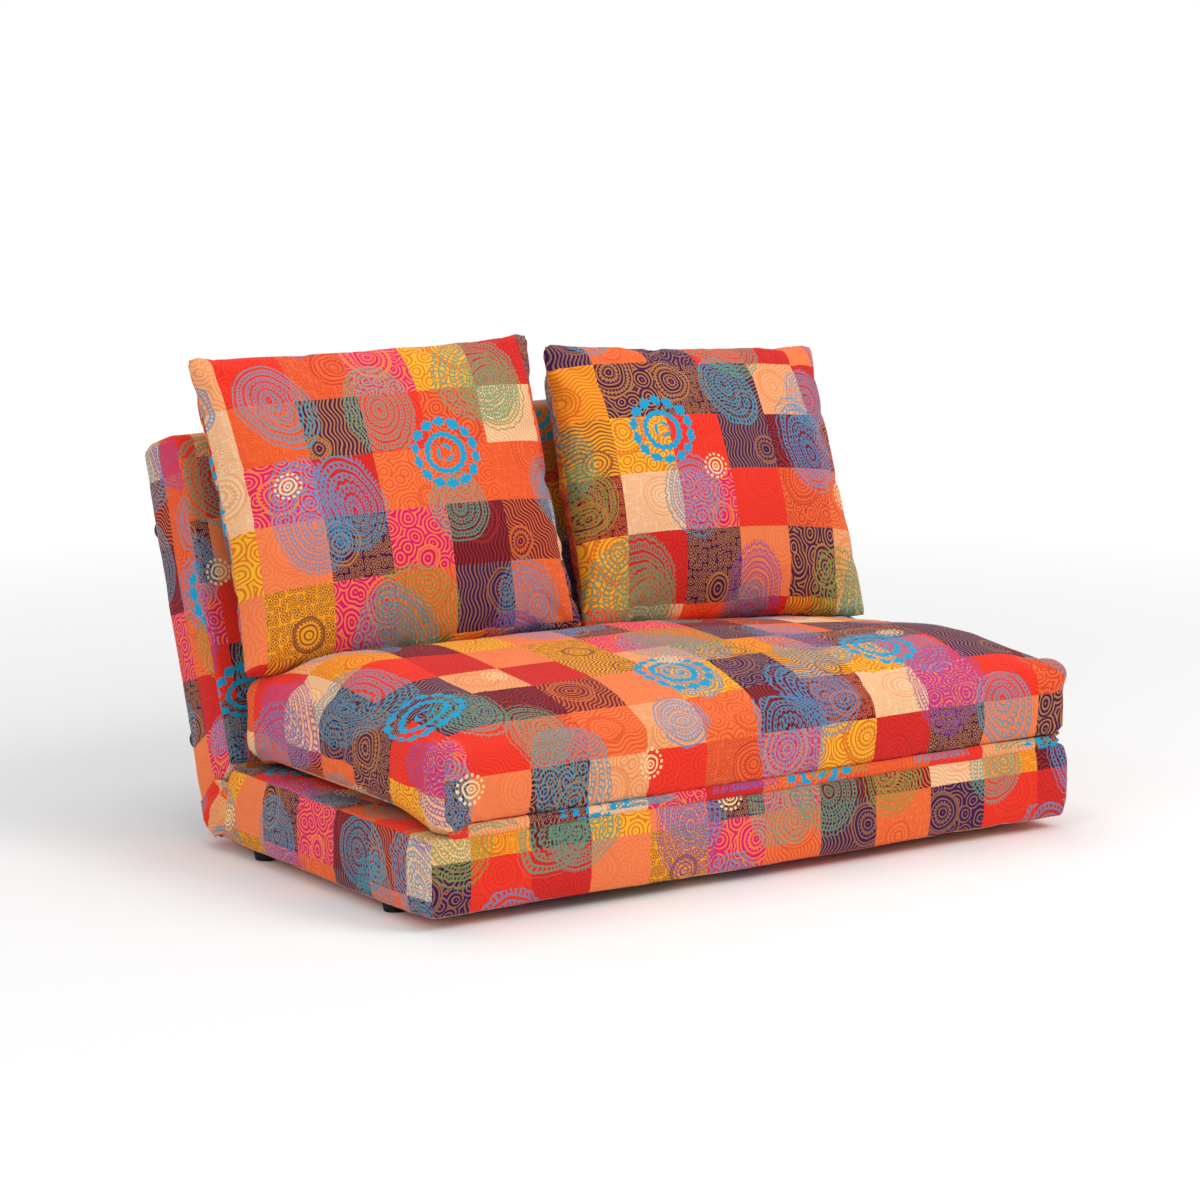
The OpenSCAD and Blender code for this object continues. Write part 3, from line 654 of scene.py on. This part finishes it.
# The two panels
def panel_points(length, corner, seed, sag):
    """One upholstered panel in its own frame: Y from the fold line, Z to the bed's top."""
    half = np.array((HALF_W, length / 2, (TOP - LOW) / 2))
    points, faces, flats, panels = boxed_pad(half, (150, 80, 18), corner, 0.6)
    normal = normals_of(points, faces)
    level = np.abs(points[:, 2]) / half[2]
    gaps = half[:2] - np.abs(points[:, :2])
    face_x, face_y = smooth(gaps[:, 0] / 0.25), smooth(gaps[:, 1] / 0.2)
    calm = smooth((points[:, 1] + half[1]) / 0.06)
    # a soft bulge of each face, long shallow waves and small creases
    swell = 0.0026 * face_x * face_y * (level > 0.9) + 0.0050 * near(level - 0.45, 0.5)
    waves = lattice_noise(points * [1, 1, 2.2], 0.16, seed) * 0.0022
    creases = lattice_noise(points * [1, 1, 0.45], 0.035, seed + 3) * 0.0012
    fine = lattice_noise(points, 0.014, seed + 5) * 0.0004
    # the cloth draws in along the seams of the four corners
    seam = bump_at(gaps[:, 0] - gaps[:, 1], 0.004) * (gaps.max(axis=1) < corner)
    rise = (swell + waves + creases + fine) * calm - 0.0013 * seam
    points = points + normal * rise[:, None]
    # the cover hangs a little along the lower side edges, and is flat under the dust cloth
    hang = (points[:, 2] < 0) * bump_at(gaps[:, 0] - 0.012, 0.03)
    points[:, 2] -= hang * smooth(gaps[:, 1] / 0.12) * sag
    under = (points[:, 2] < -half[2]) & (gaps.min(axis=1) > 0.03)
    points[under, 2] = -half[2] + 0.0006
    points[:, 1] += half[1]
    points[:, 2] += (TOP + LOW) / 2
    # the near end is cut back along the mitre where the two panels meet
    reach = 0.0030 / math.cos(MITRE) + np.maximum(points[:, 2], 0) * math.tan(MITRE)
    points[:, 1] += reach * near(points[:, 1], 0.22)
    return points, faces, flats, panels


def panel_flats(flats, panels, length, shift_u, shift_v):
    """Lays a panel's cloth flat: the top runs on over the far edge, the sides are cut apart."""
    thick = TOP - LOW
    return lay(flats, panels, shift_u, shift_v, {
        UPPER: lambda a, b: (a, -(b + length / 2)),
        FAR: lambda a, b: (a, -(length + thick / 2 - b)),
        NEAR: lambda a, b: (a, thick / 2 + b),
        UNDER: lambda a, b: (a + 0.37, b + 0.21),
        LEFT: lambda a, b: (a + 0.05, b + 0.93),
        RIGHT: lambda a, b: (0.05 - a, b),
    })


def make_base():
    points, faces, flats, panels = panel_points(BASE_LEN, 0.0090, 2, 0.0045)
    world = points * (1, -1, 1) + np.array(FOLD)
    faces = [face[::-1] for face in faces]
    flats = [face[::-1] for face in panel_flats(flats, panels, BASE_LEN, 0, 0)]
    made = mesh_of("base_upholstery", world, faces, flats, PRINT)
    dress(made, "base", 0.9, "base_cover", "base_foam")


def make_back():
    points, faces, flats, panels = panel_points(BACK_LEN, 0.015, 9, 0.0)
    x, y, z = points.T
    ahead, up = math.cos(UPRIGHT), math.sin(UPRIGHT)
    world = np.stack([x, FOLD.y + y * ahead - z * up, FOLD.z + y * up + z * ahead], axis=1)
    flats = panel_flats(flats, panels, BACK_LEN, 0.031, 0.062)
    made = mesh_of("backrest_upholstery", world, faces, flats, PRINT)
    dress(made, "backrest", 0.85, "back_cover", "back_foam")


make_base()
make_back()


# The fold between the panels
ALONG = Vector((0, -math.sin(MITRE), math.cos(MITRE)))
ACROSS = Vector((0, math.cos(MITRE), math.sin(MITRE)))


def fold_place(x, along, across):
    """A point by its distances from the fold line along and across the mitre."""
    place = FOLD + ALONG * along + ACROSS * across
    return np.array((x, place.y, place.z))


def blend_over_fold(made):
    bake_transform(made)


def make_fold_pleat():
    """The slack of the cover, tucked down between the two panels in one long pleat."""
    leaf = [(0.100, 0.0014), (0.085, 0.0014), (0.068, 0.0014), (0.054, 0.0014),
            (0.049, 0.0012), (0.0472, 0.0006)]
    profile = [(a, -b) for a, b in leaf] + [(0.047, 0.0)] + leaf[::-1]
    run = run_along(profile)
    across = np.linspace(-0.590, 0.590, 90)
    rows = [[fold_place(x, a, b) for x in across] for a, b in profile]
    flat_rows = [[(x + 0.021, r + 0.33) for x in across] for r in run]
    made = woven_sheet("fold_pleat", rows, flat_rows, PRINT)
    blend_over_fold(made)
    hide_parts("fold_gusset")


def make_fold_wrap():
    """The strip of cover round the fold, from the base's underside to the backrest's rear."""
    radius, low, steps = 0.0265, 0.0228, 12
    path = [(-0.030, -0.0262), (-0.022, -0.0256), (-0.012, -0.0241), (0.0, -low)]
    for k in range(1, steps + 1):
        turn = math.radians(-90 + 72 * k / steps)
        taut = 1 - 0.08 * math.sin(math.pi * k / steps)
        taut *= low + (radius - low) * k / steps
        path.append((taut * math.cos(turn), taut * math.sin(turn)))
    tip = path[-1]
    for reach in (0.012, 0.022, 0.030):
        path.append((tip[0] + math.sin(LEAN) * reach, tip[1] + math.cos(LEAN) * reach))
    run = run_along(path)
    count = 200
    across = np.linspace(-0.596, 0.596, count)
    rows = []
    for (y, z), r in zip(path, run):
        place = np.array([(x, FOLD.y + y, FOLD.z + z) for x in across])
        spots = np.stack([across, np.full(count, r * 0.5), np.zeros(count)], axis=1)
        ripple = lattice_noise(spots, 0.028, 61) * 0.0018 + 0.0008
        ripple *= math.sin(math.pi * r / run[-1])
        rows.append(place + ripple[:, None] * np.array(Vector((0, y, z)).normalized()))
    flat_rows = [[(x, r + 0.57) for x in across] for r in run]
    made = woven_sheet("fold_wrap", rows, flat_rows, PRINT)
    thicken(made, 0.0012)
    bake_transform(made)


def make_fold_bunch(side, sign):
    """The gathered cloth that closes one side of the fold."""
    spans = spread(34, 0.3)
    rows, flat_rows = [], []
    for b in spans:
        row, flat_row = [], []
        for a in spans[::sign]:
            # a rounded oblong, a little narrower at its top
            x, y = a * math.sqrt(1 - b * b / 2), b * math.sqrt(1 - a * a / 2)
            across, along = x * (0.038 - 0.007 * y) - 0.008, y * 0.053 + 0.034
            rim = max(1 - x * x, 0) * max(1 - y * y, 0)
            gather = math.cos((x + 0.22 * math.sin(3 * y)) * 7.0) * 0.0034 * math.sqrt(rim)
            proud = -0.004 + 0.0155 * rim ** 0.5 + gather
            row.append(fold_place(sign * (HALF_W + proud), along, across))
            flat_row.append((across * 1.35 + 0.2 * sign, along + 0.43))
        rows.append(row)
        flat_rows.append(flat_row)
    rows = np.array(rows)
    spots = rows.reshape(-1, 3)
    spots[:, 0] += sign * lattice_noise(spots, 0.016, 71) * 0.0009
    made = woven_sheet(f"{side}_fold_bunch", rows, flat_rows, PRINT)
    blend_over_fold(made)


make_fold_pleat()
make_fold_wrap()
make_fold_bunch("left", -1)
make_fold_bunch("right", 1)


# Zips
def slider_model():
    """A zip's slider: a waisted body with a bridge on it and a pull that hangs from it."""
    body = add_block("zip_slider_body", (0.0095, 0.0080, 0.0024), (0, 0, 0.0012), 0.0006)
    enter("EDIT")
    bpy.ops.mesh.select_all(action="DESELECT")
    enter("OBJECT")
    top = max(body.data.polygons, key=lambda face: face.center.z + face.area)
    top.select = True
    enter("EDIT")
    bpy.ops.mesh.inset(thickness=0.0024)
    bpy.ops.mesh.extrude_region_move(TRANSFORM_OT_translate={"value": (0, 0, 0.0014)})
    bpy.ops.transform.resize(value=(0.8, 0.6, 1))
    enter("OBJECT")
    pick(body, add_block("zip_pull", (0.017, 0.0042, 0.0013), (0.0115, 0, 0.0034), 0.0005))
    bpy.ops.object.join()
    return body


# Half of the tape's section, from its middle: how far aside and how high, on a hem or flat
ZIP_HEM = ((0.0018, 0.0012), (0.0045, 0.0004), (0.0070, -0.0022))
ZIP_FLAT = ((0.0020, 0.0013), (0.0075, 0.0009), (0.0110, -0.0004))
TOOTH_PITCH = 0.0024


def make_zip(name, hem, outward, body, section, share):
    """A zip along a line of points: two tapes, the chain of teeth and the slider."""
    across = hem[:, 0]
    middle = (across[0] + across[-1]) / 2
    inside = np.abs(across - middle) <= share / 2 * (across[-1] - across[0]) + 1e-6
    hem, outward = hem[inside], outward[inside]
    along = np.gradient(hem, axis=0)
    along /= lengths(along)
    outward = outward - np.sum(outward * along, axis=1, keepdims=True) * along
    outward /= lengths(outward)
    beside = np.cross(outward, along)
    profile = [(-wide, high) for wide, high in section[::-1]] + list(section)
    rows = [hem + beside * wide + outward * high for wide, high in profile]
    tape = woven_sheet(f"{name}_tape", rows, np.zeros((len(rows), len(hem), 2)), ZIP_TAPE)
    thicken(tape, 0.0007)
    run = run_along(hem)

    def frame_at(distance, lift):
        place, ahead, up, aside = [
            np.array([np.interp(distance, run, column) for column in table.T])
            for table in (hem, along, outward, beside)]
        return place + up * lift, ahead, up, aside

    tooth = add_block("zip_tooth", (0.0012, 0.0042, 0.0013), (0, 0, 0.0006), 0.0003)
    marks = np.arange(0.006, run[-1] - 0.004, TOOTH_PITCH)
    chain = copies(f"{name}_teeth", tooth, [frame_at(mark, 0.0012) for mark in marks], BLACK)
    slider = copies(f"{name}_slider", slider_model(), [frame_at(run[-1] - 0.032, 0.0018)], PLATED)
    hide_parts(name)
    slots = ((tape, "zip_tape"), (chain, "black_plastic"), (slider, "zinc_steel"))
    for piece, slot in slots:
        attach(piece, body)
    return tape, chain, slider


# The seat flap
def seat_rise(x, y):
    """How far the seat's crown rises over its edge at a place on it."""
    run = (SEAT_Y[1] - SEAT_Y[0]) / 2 - SEAT_ROUND
    # the filling has moved towards the left rear
    rear = smooth((y + 0.28) / 0.32)
    left, right = np.clip(-x / 0.5, 0, 1), np.clip(x / 0.5, 0, 1)
    share = 1 + rear * (0.20 + 0.20 * left - 0.95 * right) - 0.12 * right * (1 - rear)
    total = SEAT_CROWN * share
    edges = ((x - SEAT_X[0], 9), (SEAT_X[1] - x, 6), (y - SEAT_Y[0], 4), (SEAT_Y[1] - y, 5))
    for gap, power in edges:
        total = total * (1 - (1 - np.clip((gap - SEAT_ROUND) / run, 0, 1)) ** power)
    total -= 0.012 * smooth((x - 0.40) / 0.16) * smooth((y + 0.04) / 0.15)
    left_end = near(x - SEAT_X[0], 0.16)
    return total + 0.015 * left_end * smooth((y - SEAT_Y[0] - 0.15) / 0.25)


def press_down(made):
    """Gives a piece a mesh of its own."""
    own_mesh(made)


def seat_zip_line(points, rear, up, middle):
    """The row across the rear that the zip follows, and the cloth laid flat beside it."""
    behind = rear < 0.0015
    levels = np.unique(np.round(up[behind], 5))
    level = levels[np.argmin(np.abs(levels - SEAT_ZIP_HEIGHT))]
    row = np.nonzero(behind & (np.abs(up - level) < 1e-4))[0]
    row = row[np.argsort(points[row, 0])]
    row = row[np.abs(points[row, 0] - middle) < 0.50]
    line = points[row]
    for _ in range(12):
        ends = line[:-2, 1:] + line[2:, 1:]
        line[1:-1, 1:] = 0.5 * line[1:-1, 1:] + 0.25 * ends
    near = (rear < 0.012) & (np.abs(up - level) < 0.020) & (np.abs(points[:, 0] - middle) < 0.53)
    points[near, 1] = np.interp(points[near, 0], line[:, 0], line[:, 1])
    return line


def make_seat():
    """A soft crowned mattress whose top runs down over its front, in one width of cloth."""
    least = np.array([SEAT_X[0], SEAT_Y[0], SEAT_LOW])
    most = np.array([SEAT_X[1], SEAT_Y[1], SEAT_EDGE])
    mid, half = (least + most) / 2, (most - least) / 2
    points, faces, flats, panels = boxed_pad(half, (140, 76, 20), SEAT_ROUND, 0.72)
    # the lower edge is tighter than the upper one
    tall, hem = 2 * half[2], 0.020
    low = points[:, 2] + half[2]
    tight = low < SEAT_ROUND
    for k in (0, 1):
        gap = half[k] - np.abs(points[:, k])
        out = 0.45 * np.minimum(gap, SEAT_ROUND) * near(gap - SEAT_ROUND, 0.07)
        points[:, k] += np.where(tight, out, 0) * np.sign(points[:, k])
    body = hem + (low - SEAT_ROUND) * (tall - hem - SEAT_ROUND) / (tall - 2 * SEAT_ROUND)
    up = np.where(tight, low * hem / SEAT_ROUND, np.where(low < tall - SEAT_ROUND, body, low))
    points[:, 2] = up - half[2]
    left, right = points[:, 0] + half[0], half[0] - points[:, 0]
    front, rear = points[:, 1] + half[1], half[1] - points[:, 1]
    end = np.minimum(front, rear)
    edge = np.minimum(np.minimum(left, right), end)
    world = points + mid
    points[:, 2] += seat_rise(world[:, 0], world[:, 1]) * smooth((up / tall - 0.6) / 0.4)
    # full upright corners, bulging ends, and the lower corners drawn in
    over_hem = smooth((up - 0.004) / 0.028)
    for gap, sign, drawn_in in ((left, -1, 0.022), (right, 1, 0.016)):
        full = near(gap, SEAT_ROUND) * near(end, SEAT_ROUND)
        bulge = 0.0080 * full + 0.0035 * near(gap, 0.05)
        points[:, 0] += sign * bulge * over_hem
        points[:, 1] += np.where(front < rear, -0.0060, 0.0050) * full * over_hem
        corner = near(gap, 0.07) * near(end, 0.05)
        points[:, 0] -= sign * drawn_in * corner * near(up, 0.036)
    points[:, 1] = np.maximum(points[:, 1], -half[1] - 0.002)
    normal = normals_of(points, faces)
    # the front is drawn in low down, where the band of the fold lies
    draw = 0.012 * near(up - 0.0135, 0.007) * near(front - 0.02, 0.06)
    points[:, 1] += draw * smooth(left / 0.03) * smooth(right / 0.03)
    # the ends lift off the base towards the rear
    lift = 0.019 * near(left, 0.10) + 0.008 * near(right, 0.07)
    lift = lift * smooth((front - 0.03) / 0.14) * smooth(rear / 0.08)
    points[:, 2] += lift * near(up, 0.085)
    # ears at the two front corners, with the upright seams below them
    for gap, high, size in ((right, 0.009, 0.024), (left, 0.013, 0.026)):
        away = np.sqrt((gap - 0.012) ** 2 + (front - 0.012) ** 2 + (up - 0.130) ** 2)
        points += normal * (high * bump_at(away, size))[:, None]
        corner = (gap < SEAT_ROUND) & (front < SEAT_ROUND)
        seam = 0.0024 * bump_at(gap - front, 0.0045) * corner * smooth(up / 0.02)
        points -= normal * seam[:, None]
    for gap in (left, right):
        corner = (gap < SEAT_ROUND) & (rear < SEAT_ROUND)
        points -= normal * (0.0020 * bump_at(gap - rear, 0.0045) * corner)[:, None]
    # the tuck at the lower front left corner
    away = np.sqrt((left - 0.012) ** 2 + (front - 0.020) ** 2 + (up - 0.024) ** 2)
    points += normal * (0.009 * bump_at(away, 0.034))[:, None]
    slant = (up - 0.050) + 0.55 * (left - front)
    points -= normal * (0.0042 * bump_at(slant, 0.0055) * bump_at(away, 0.055))[:, None]
    # dents, soft folds that run down to the lower seam, and small creases
    stood_on = smooth((points[:, 1] + mid[1] - 0.03) / 0.05) * smooth((up - 0.09) / 0.03)
    lifted = smooth((up - 0.018) / 0.03) * (1 - 0.85 * stood_on)
    dents = lattice_noise(points * [1, 1.2, 1.0], 0.19, 21) * 0.0052
    folds = lattice_noise(points * [1.6, 1.6, 0.35], 0.055, 23) * 0.0034
    folds = folds * (0.25 + 0.75 * near(edge, 0.09))
    fine = lattice_noise(points, 0.020, 25) * 0.0007
    points = points + normal * ((dents + folds + fine) * lifted)[:, None]
    points[:, 2] = np.maximum(points[:, 2], -half[2] + 0.0004)
    down, out = half[1] + half[2], half[0] + half[2]
    laid = lay(flats, panels, mid[0], 0.04, {
        UPPER: lambda a, b: (a, b),
        FAR: lambda a, b: (a, down - b),
        NEAR: lambda a, b: (a, b - down),
        UNDER: lambda a, b: (a + 0.3, b + 1.1),
        RIGHT: lambda a, b: (out - b, a),
        LEFT: lambda a, b: (b - out, a),
    })
    made = mesh_of("seat_upholstery", points + mid, faces, laid, PRINT)
    puff(made, frames=10, pressure=2.4, cap=0.009, slack=0.014, stiff=15.0, bend=0.5,
         hold=near(up - 0.004, 0.02))
    points = points_of(made)
    points[:, 2] = np.maximum(points[:, 2], SEAT_LOW + 0.0004)
    line = seat_zip_line(points, rear, up, mid[0])
    put_points(made, points)
    behind = np.tile([0.0, 1.0, 0.0], (len(line), 1))
    for piece in make_zip("seat_zip", line, behind, "seat_flap", ZIP_FLAT, 1.0):
        press_down(piece)
    dress(made, "seat_flap", 0.8, "seat_cover", "seat_foam")
    press_down(made)


def make_front_band():
    """The rolled band of cloth that hinges the seat on the base's front edge."""
    count, ring = 260, 14
    deep, high = 0.0060, 0.0108
    across = np.linspace(SEAT_X[0] + 0.006, SEAT_X[1] - 0.010, count)
    taper = smooth((across - across[0]) / 0.012) * smooth((across[-1] - across) / 0.012)
    taper = taper * 0.9 + 0.1
    rows, flat_rows = [], []
    for k in range(ring + 1):
        turn = math.tau * k / ring
        ahead, up = math.cos(turn), math.sin(turn)
        spots = np.stack([across, np.full(count, ahead * 0.01), np.full(count, up * 0.01)], axis=1)
        wave = lattice_noise(spots, 0.03, 81)
        front = -HALF_DEPTH + 0.0066 - (deep + wave * 0.0009) * taper * ahead
        rows.append(np.stack([across, front, 0.1450 + (high + wave * 0.0008) * taper * up], axis=1))
        flat_rows.append([(x, -0.51 - high * turn) for x in across])
    made = woven_sheet("front_band", rows[:-1], flat_rows, PRINT, closed=True)
    dress(made, "base", 0.7, "seat_welt")
    press_down(made)


make_seat()
make_front_band()


# Springs of the pawls
def make_pawl_spring(side):
    """A pawl's spring: a block on the tube, and the thin leaf that gives when the pawl lifts."""
    name = f"{side}_pawl_spring"
    along = np.array([0, math.cos(UPRIGHT), math.sin(UPRIGHT)])
    high = np.array([0, -math.sin(UPRIGHT), math.cos(UPRIGHT)])
    spots = points_of(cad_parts[name]) - np.array(FOLD)
    u, v, x = spots @ along, spots @ high, spots[:, 0]
    wide, block = x.max() - x.min(), v.max() - v.min()
    middle, level = (x.max() + x.min()) / 2, v.max() - block / 2
    boss = add_block(f"{name}_block", (wide, block, block),
                     (middle, u.max() - block / 2, level), 0.0005)
    length = u.max() - block - u.min() + 0.0005
    leaf = add_block(f"{name}_leaf", (wide, length, 0.0008),
                     (middle, u.min() + length / 2, level + 0.0004), 0.0002)
    for made in (boss, leaf):
        made.data.transform(Matrix.Translation(FOLD) @ Matrix.Rotation(UPRIGHT, 4, "X"))
        made.data.materials.append(SPRING)
        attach(made, "backrest")
    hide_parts(name)
    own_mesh(leaf)


make_pawl_spring("left")
make_pawl_spring("right")


# Staples of the dust cloths
STAPLE_PITCH = 0.055


def make_staples(cloth, body, up):
    """A row of staples round the edge of a dust cloth, found from the cloth's own corners."""
    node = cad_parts[cloth]
    spots = np.array([node.matrix_world @ Vector(tuple(p)) for p in points_of(node)])
    middle = (spots.min(axis=0) + spots.max(axis=0)) / 2
    up, side = np.array(up), np.array([1.0, 0.0, 0.0])
    along = np.cross(up, side)
    spots = spots - middle
    high = (spots @ up).max()
    wide, long = (spots @ side).max() - 0.008, (spots @ along).max() - 0.008
    places = []
    for sign in (-1, 1):
        for t in np.arange(-wide + 0.02, wide - 0.01, STAPLE_PITCH):
            places.append((middle + side * t + along * sign * long + up * high, side, up, along))
        for t in np.arange(-long + 0.03, long - 0.02, STAPLE_PITCH):
            places.append((middle + along * t + side * sign * wide + up * high, along, up, side))
    staple = add_block("staple", (0.0100, 0.0012, 0.0008), (0, 0, 0.0003), 0.0003)
    made = copies(f"{body}_staples", staple, places, PLATED)
    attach(made, body)


make_staples("base_dust_cloth", "base", (0.0, 0.0, -1.0))
make_staples("back_dust_cloth", "backrest", (0.0, math.cos(LEAN), -math.sin(LEAN)))


# The pillows
def pillow_sheets(size, offset):
    """Two sheets sewn round: each point's place from -1 to 1 and its side, faces, flat places."""
    columns, rows = 74, 66
    us, vs = spread(columns, 0.6), spread(rows, 0.6)
    index, marks, faces, flats = {}, [], [], []

    def key_of(i, j, side):
        rim = i in (0, columns) or j in (0, rows)
        return i, j, 0 if rim else side

    for side in (1, -1):
        for j in range(rows + 1):
            for i in range(columns + 1):
                key = key_of(i, j, side)
                if key not in index:
                    index[key] = len(marks)
                    marks.append((us[i], vs[j], key[2]))
    for side, apart in ((1, 0), (-1, 0.777)):
        for j in range(rows):
            for i in range(columns):
                ring = [(i, j), (i + 1, j), (i + 1, j + 1), (i, j + 1)]
                if side < 0:
                    ring.reverse()
                faces.append([index[key_of(p, q, side)] for p, q in ring])
                flats.append([(us[p] * size[0] / 2 + offset[0] + apart,
                               vs[q] * size[1] / 2 + offset[1]) for p, q in ring])
    return np.array(marks).T, faces, flats


def make_pillow(side, size, centre, yaw, roll, seed, offset, settled):
    """A knife-edge pillow, stuffed and then stood against the backrest."""
    (a, b, face), faces, flats = pillow_sheets(size, offset)
    half = np.array(size) / 2
    gap = np.minimum((1 - np.abs(a)) * half[0], (1 - np.abs(b)) * half[1])
    # fuller behind, up where it is pressed against the backrest
    fill = np.where(face > 0, 0.43, 0.38 - 0.05 * b)
    deep = 0.086 * np.maximum((1 - a * a) * (1 - b * b), 0) ** fill
    deep = deep * (0.45 + 0.55 * smooth(gap / 0.009))
    lip = 0.0022 * (gap < 1e-6)
    x = (half[0] + lip) * a - 0.009 * a * (1 - b * b)
    y = (half[1] + lip) * b - 0.010 * b * (1 - a * a)
    # slightly blunt corners, and the corners that have settled out of square
    blunt = smooth((np.abs(a) - 0.93) / 0.07) * smooth((np.abs(b) - 0.93) / 0.07)
    x -= np.sign(a) * 0.005 * blunt
    y -= np.sign(b) * 0.005 * blunt
    for (ca, cb), (move_x, move_y) in settled.items():
        share = ((1 + ca * a) / 2 * (1 + cb * b) / 2) ** 2.5
        x += move_x * share
        y += move_y * share
    deep *= 1 + 0.07 * np.cos((b + 0.7) * 2.2)
    # a crease that runs in from each corner
    for ca, cb in ((-1, -1), (-1, 1), (1, -1), (1, 1)):
        from_x, from_y = (x - ca * half[0]) * -ca, (y - cb * half[1]) * -cb
        reach, aside = (from_x + from_y) * 0.7071, (from_x - from_y) * 0.7071
        crease = 0.0060 * bump_at(aside - 0.006 * ca, 0.014) * smooth((reach - 0.02) / 0.05)
        deep -= crease * near(reach - 0.08, 0.11)
    points = np.stack([x, y, face * np.maximum(deep, 0)], axis=1)
    normal = normals_of(points, faces)
    puckers = lattice_noise(points * [1, 1, 0.25], 0.021, seed + 2) * 0.0030
    puckers = puckers * np.exp(-gap / 0.026) * smooth(gap / 0.004)
    squat = points * [1, 1, 0.3]
    dents = lattice_noise(squat, 0.13, seed) * 0.0062 * smooth(gap / 0.07)
    fine = lattice_noise(squat, 0.05, seed + 4) * 0.0018 * smooth(gap / 0.03)
    points = points + normal * (puckers + dents + fine)[:, None]
    rim_wave = lattice_noise(points * [1, 1, 0], 0.11, seed + 6) * 0.0035
    points[:, :2] += (points[:, :2] / half) * rim_wave[:, None]
    made = mesh_of(f"{side}_pillow_cushion", points, faces, flats, PRINT)
    puff(made, frames=12, pressure=3.6, cap=0.008, slack=0.016, stiff=12.0, bend=0.35)
    stand = (Matrix.Rotation(-PILLOW_LEAN, 3, "X") @ Matrix.Rotation(yaw, 3, "Z")
             @ Matrix.Rotation(math.pi / 2, 3, "X") @ Matrix.Rotation(roll, 3, "Z"))
    points = points_of(made) @ np.array(stand).T + np.array(centre)
    # it flattens where it leans on the backrest and where it stands on the seat
    out = np.array([0, -math.cos(LEAN), math.sin(LEAN)])
    clear = (points - np.array(FOLD)) @ out - TOP - 0.0045
    points += np.maximum(-clear, 0)[:, None] * out
    over = (points[:, 0] > SEAT_X[0] - 0.02) & (points[:, 0] < SEAT_X[1] + 0.01)
    over &= points[:, 1] < SEAT_Y[1]
    seat_top = SEAT_EDGE + seat_rise(points[:, 0], points[:, 1]) + 0.003
    points[:, 2] += np.where(over, np.clip(seat_top - points[:, 2], 0, 0.04), 0)
    # its lower edge has settled onto the seat
    hem = np.nonzero(b < -1 + 1e-9)[0]
    hem = hem[np.argsort(points[hem, 0])]
    seat_top = SEAT_EDGE + seat_rise(points[hem, 0], points[hem, 1]) + 0.0010
    above = np.clip(points[hem, 2] - seat_top, 0, 0.035)
    points[:, 2] -= np.interp(points[:, 0], points[hem, 0], above) * smooth((-b - 0.30) / 0.70)
    put_points(made, points)
    body = f"{side}_pillow"
    make_zip(f"{body}_zip", points[hem], normals_of(points, faces)[hem], body, ZIP_HEM, 0.6)
    dress(made, body, 0.75, f"{body}_cover", f"{body}_filling")


make_pillow("left", (0.592, 0.514), (-0.29, 0.1939, 0.5334), math.radians(-4),
            math.radians(-1), 31, (0.05, 0.24),
            {(1, 1): (0.018, -0.007), (-1, -1): (-0.006, 0.0), (1, -1): (0.008, 0.006)})
make_pillow("right", (0.574, 0.474), (0.314, 0.1885, 0.5150), math.radians(4),
            math.radians(-3), 37, (0.43, 0.61),
            {(-1, 1): (0.020, -0.010), (1, 1): (0.006, -0.012), (1, -1): (0.022, -0.006)})


# The frame's own nodes
OF_PANELS = {"frame": TUBE, "webbing": WEBBING, "dust_cloth": DUST, "feet": BLACK,
             "foot_screws": PLATED, "hinge_bolts": PLATED}
OF_HINGES = {"hinge_plate": PLATED, "hinge_arm": PLATED, "hinge_rivet": SPRING,
             "pawl_pin": SPRING, "pawl": SPRING}


def finish_nodes(places, finishes):
    """Gives the frame's nodes at each place their finishes."""
    for place in places:
        for piece, finish in finishes.items():
            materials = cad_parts[f"{place}_{piece}"].data.materials
            materials.clear()
            materials.append(finish)


finish_nodes(("base", "back"), OF_PANELS)
finish_nodes(("left", "right"), OF_HINGES)


# Floor, backdrop and lights
WHITE = (1, 1, 1, 1)


def white_stage():
    """A white floor in a white world; what glows far out lends no light to the sofa."""
    w = Finish("studio_floor")
    x, y, _ = w.part(w.place())
    share = w.do("SUBTRACT", w.length(x, y) * 0.55, 0.55, clamp=True)
    glow = w.node("Emission", WHITE, 1.0)
    mixed = w.node("MixShader", share * w.seen(), w.shader.outputs[0], glow)
    w.join(mixed, w.tree.nodes["Material Output"].inputs["Surface"])
    corners = [(-9, -9, 0), (9, -9, 0), (9, 9, 0), (-9, 9, 0)]
    mesh_of("floor", corners, [(0, 1, 2, 3)], None, w.done(shade("FAFAFA"), 0.9))
    world = bpy.data.worlds.new("studio")
    bpy.context.scene.world = world
    w = Wiring(world)
    soft = w.tree.nodes["Background"]
    w.join(WHITE, soft.inputs[0])
    w.join(0.48, soft.inputs[1])
    mixed = w.node("MixShader", w.seen(), soft.outputs[0], w.node("Background", WHITE, 1.0))
    w.join(mixed, w.tree.nodes["World Output"].inputs[0])


def soft_light(name, place, target, size, watts):
    lamp = bpy.data.lights.new(name, "AREA")
    lamp.shape = "SQUARE"
    lamp.size = size
    lamp.energy = watts
    made = add_object(name, lamp)
    made.location = place
    made.rotation_euler = (Vector(target) - Vector(place)).to_track_quat("-Z", "Y").to_euler()


white_stage()
soft_light("key", (2.0, -3.2, 3.4), (0.1, 0, 0.3), 2.4, 92)
soft_light("fill", (-3.6, -1.6, 1.8), (0, 0, 0.3), 2.6, 36)
soft_light("top", (0, 0.4, 3.8), (0, 0, 0.3), 3.0, 45)
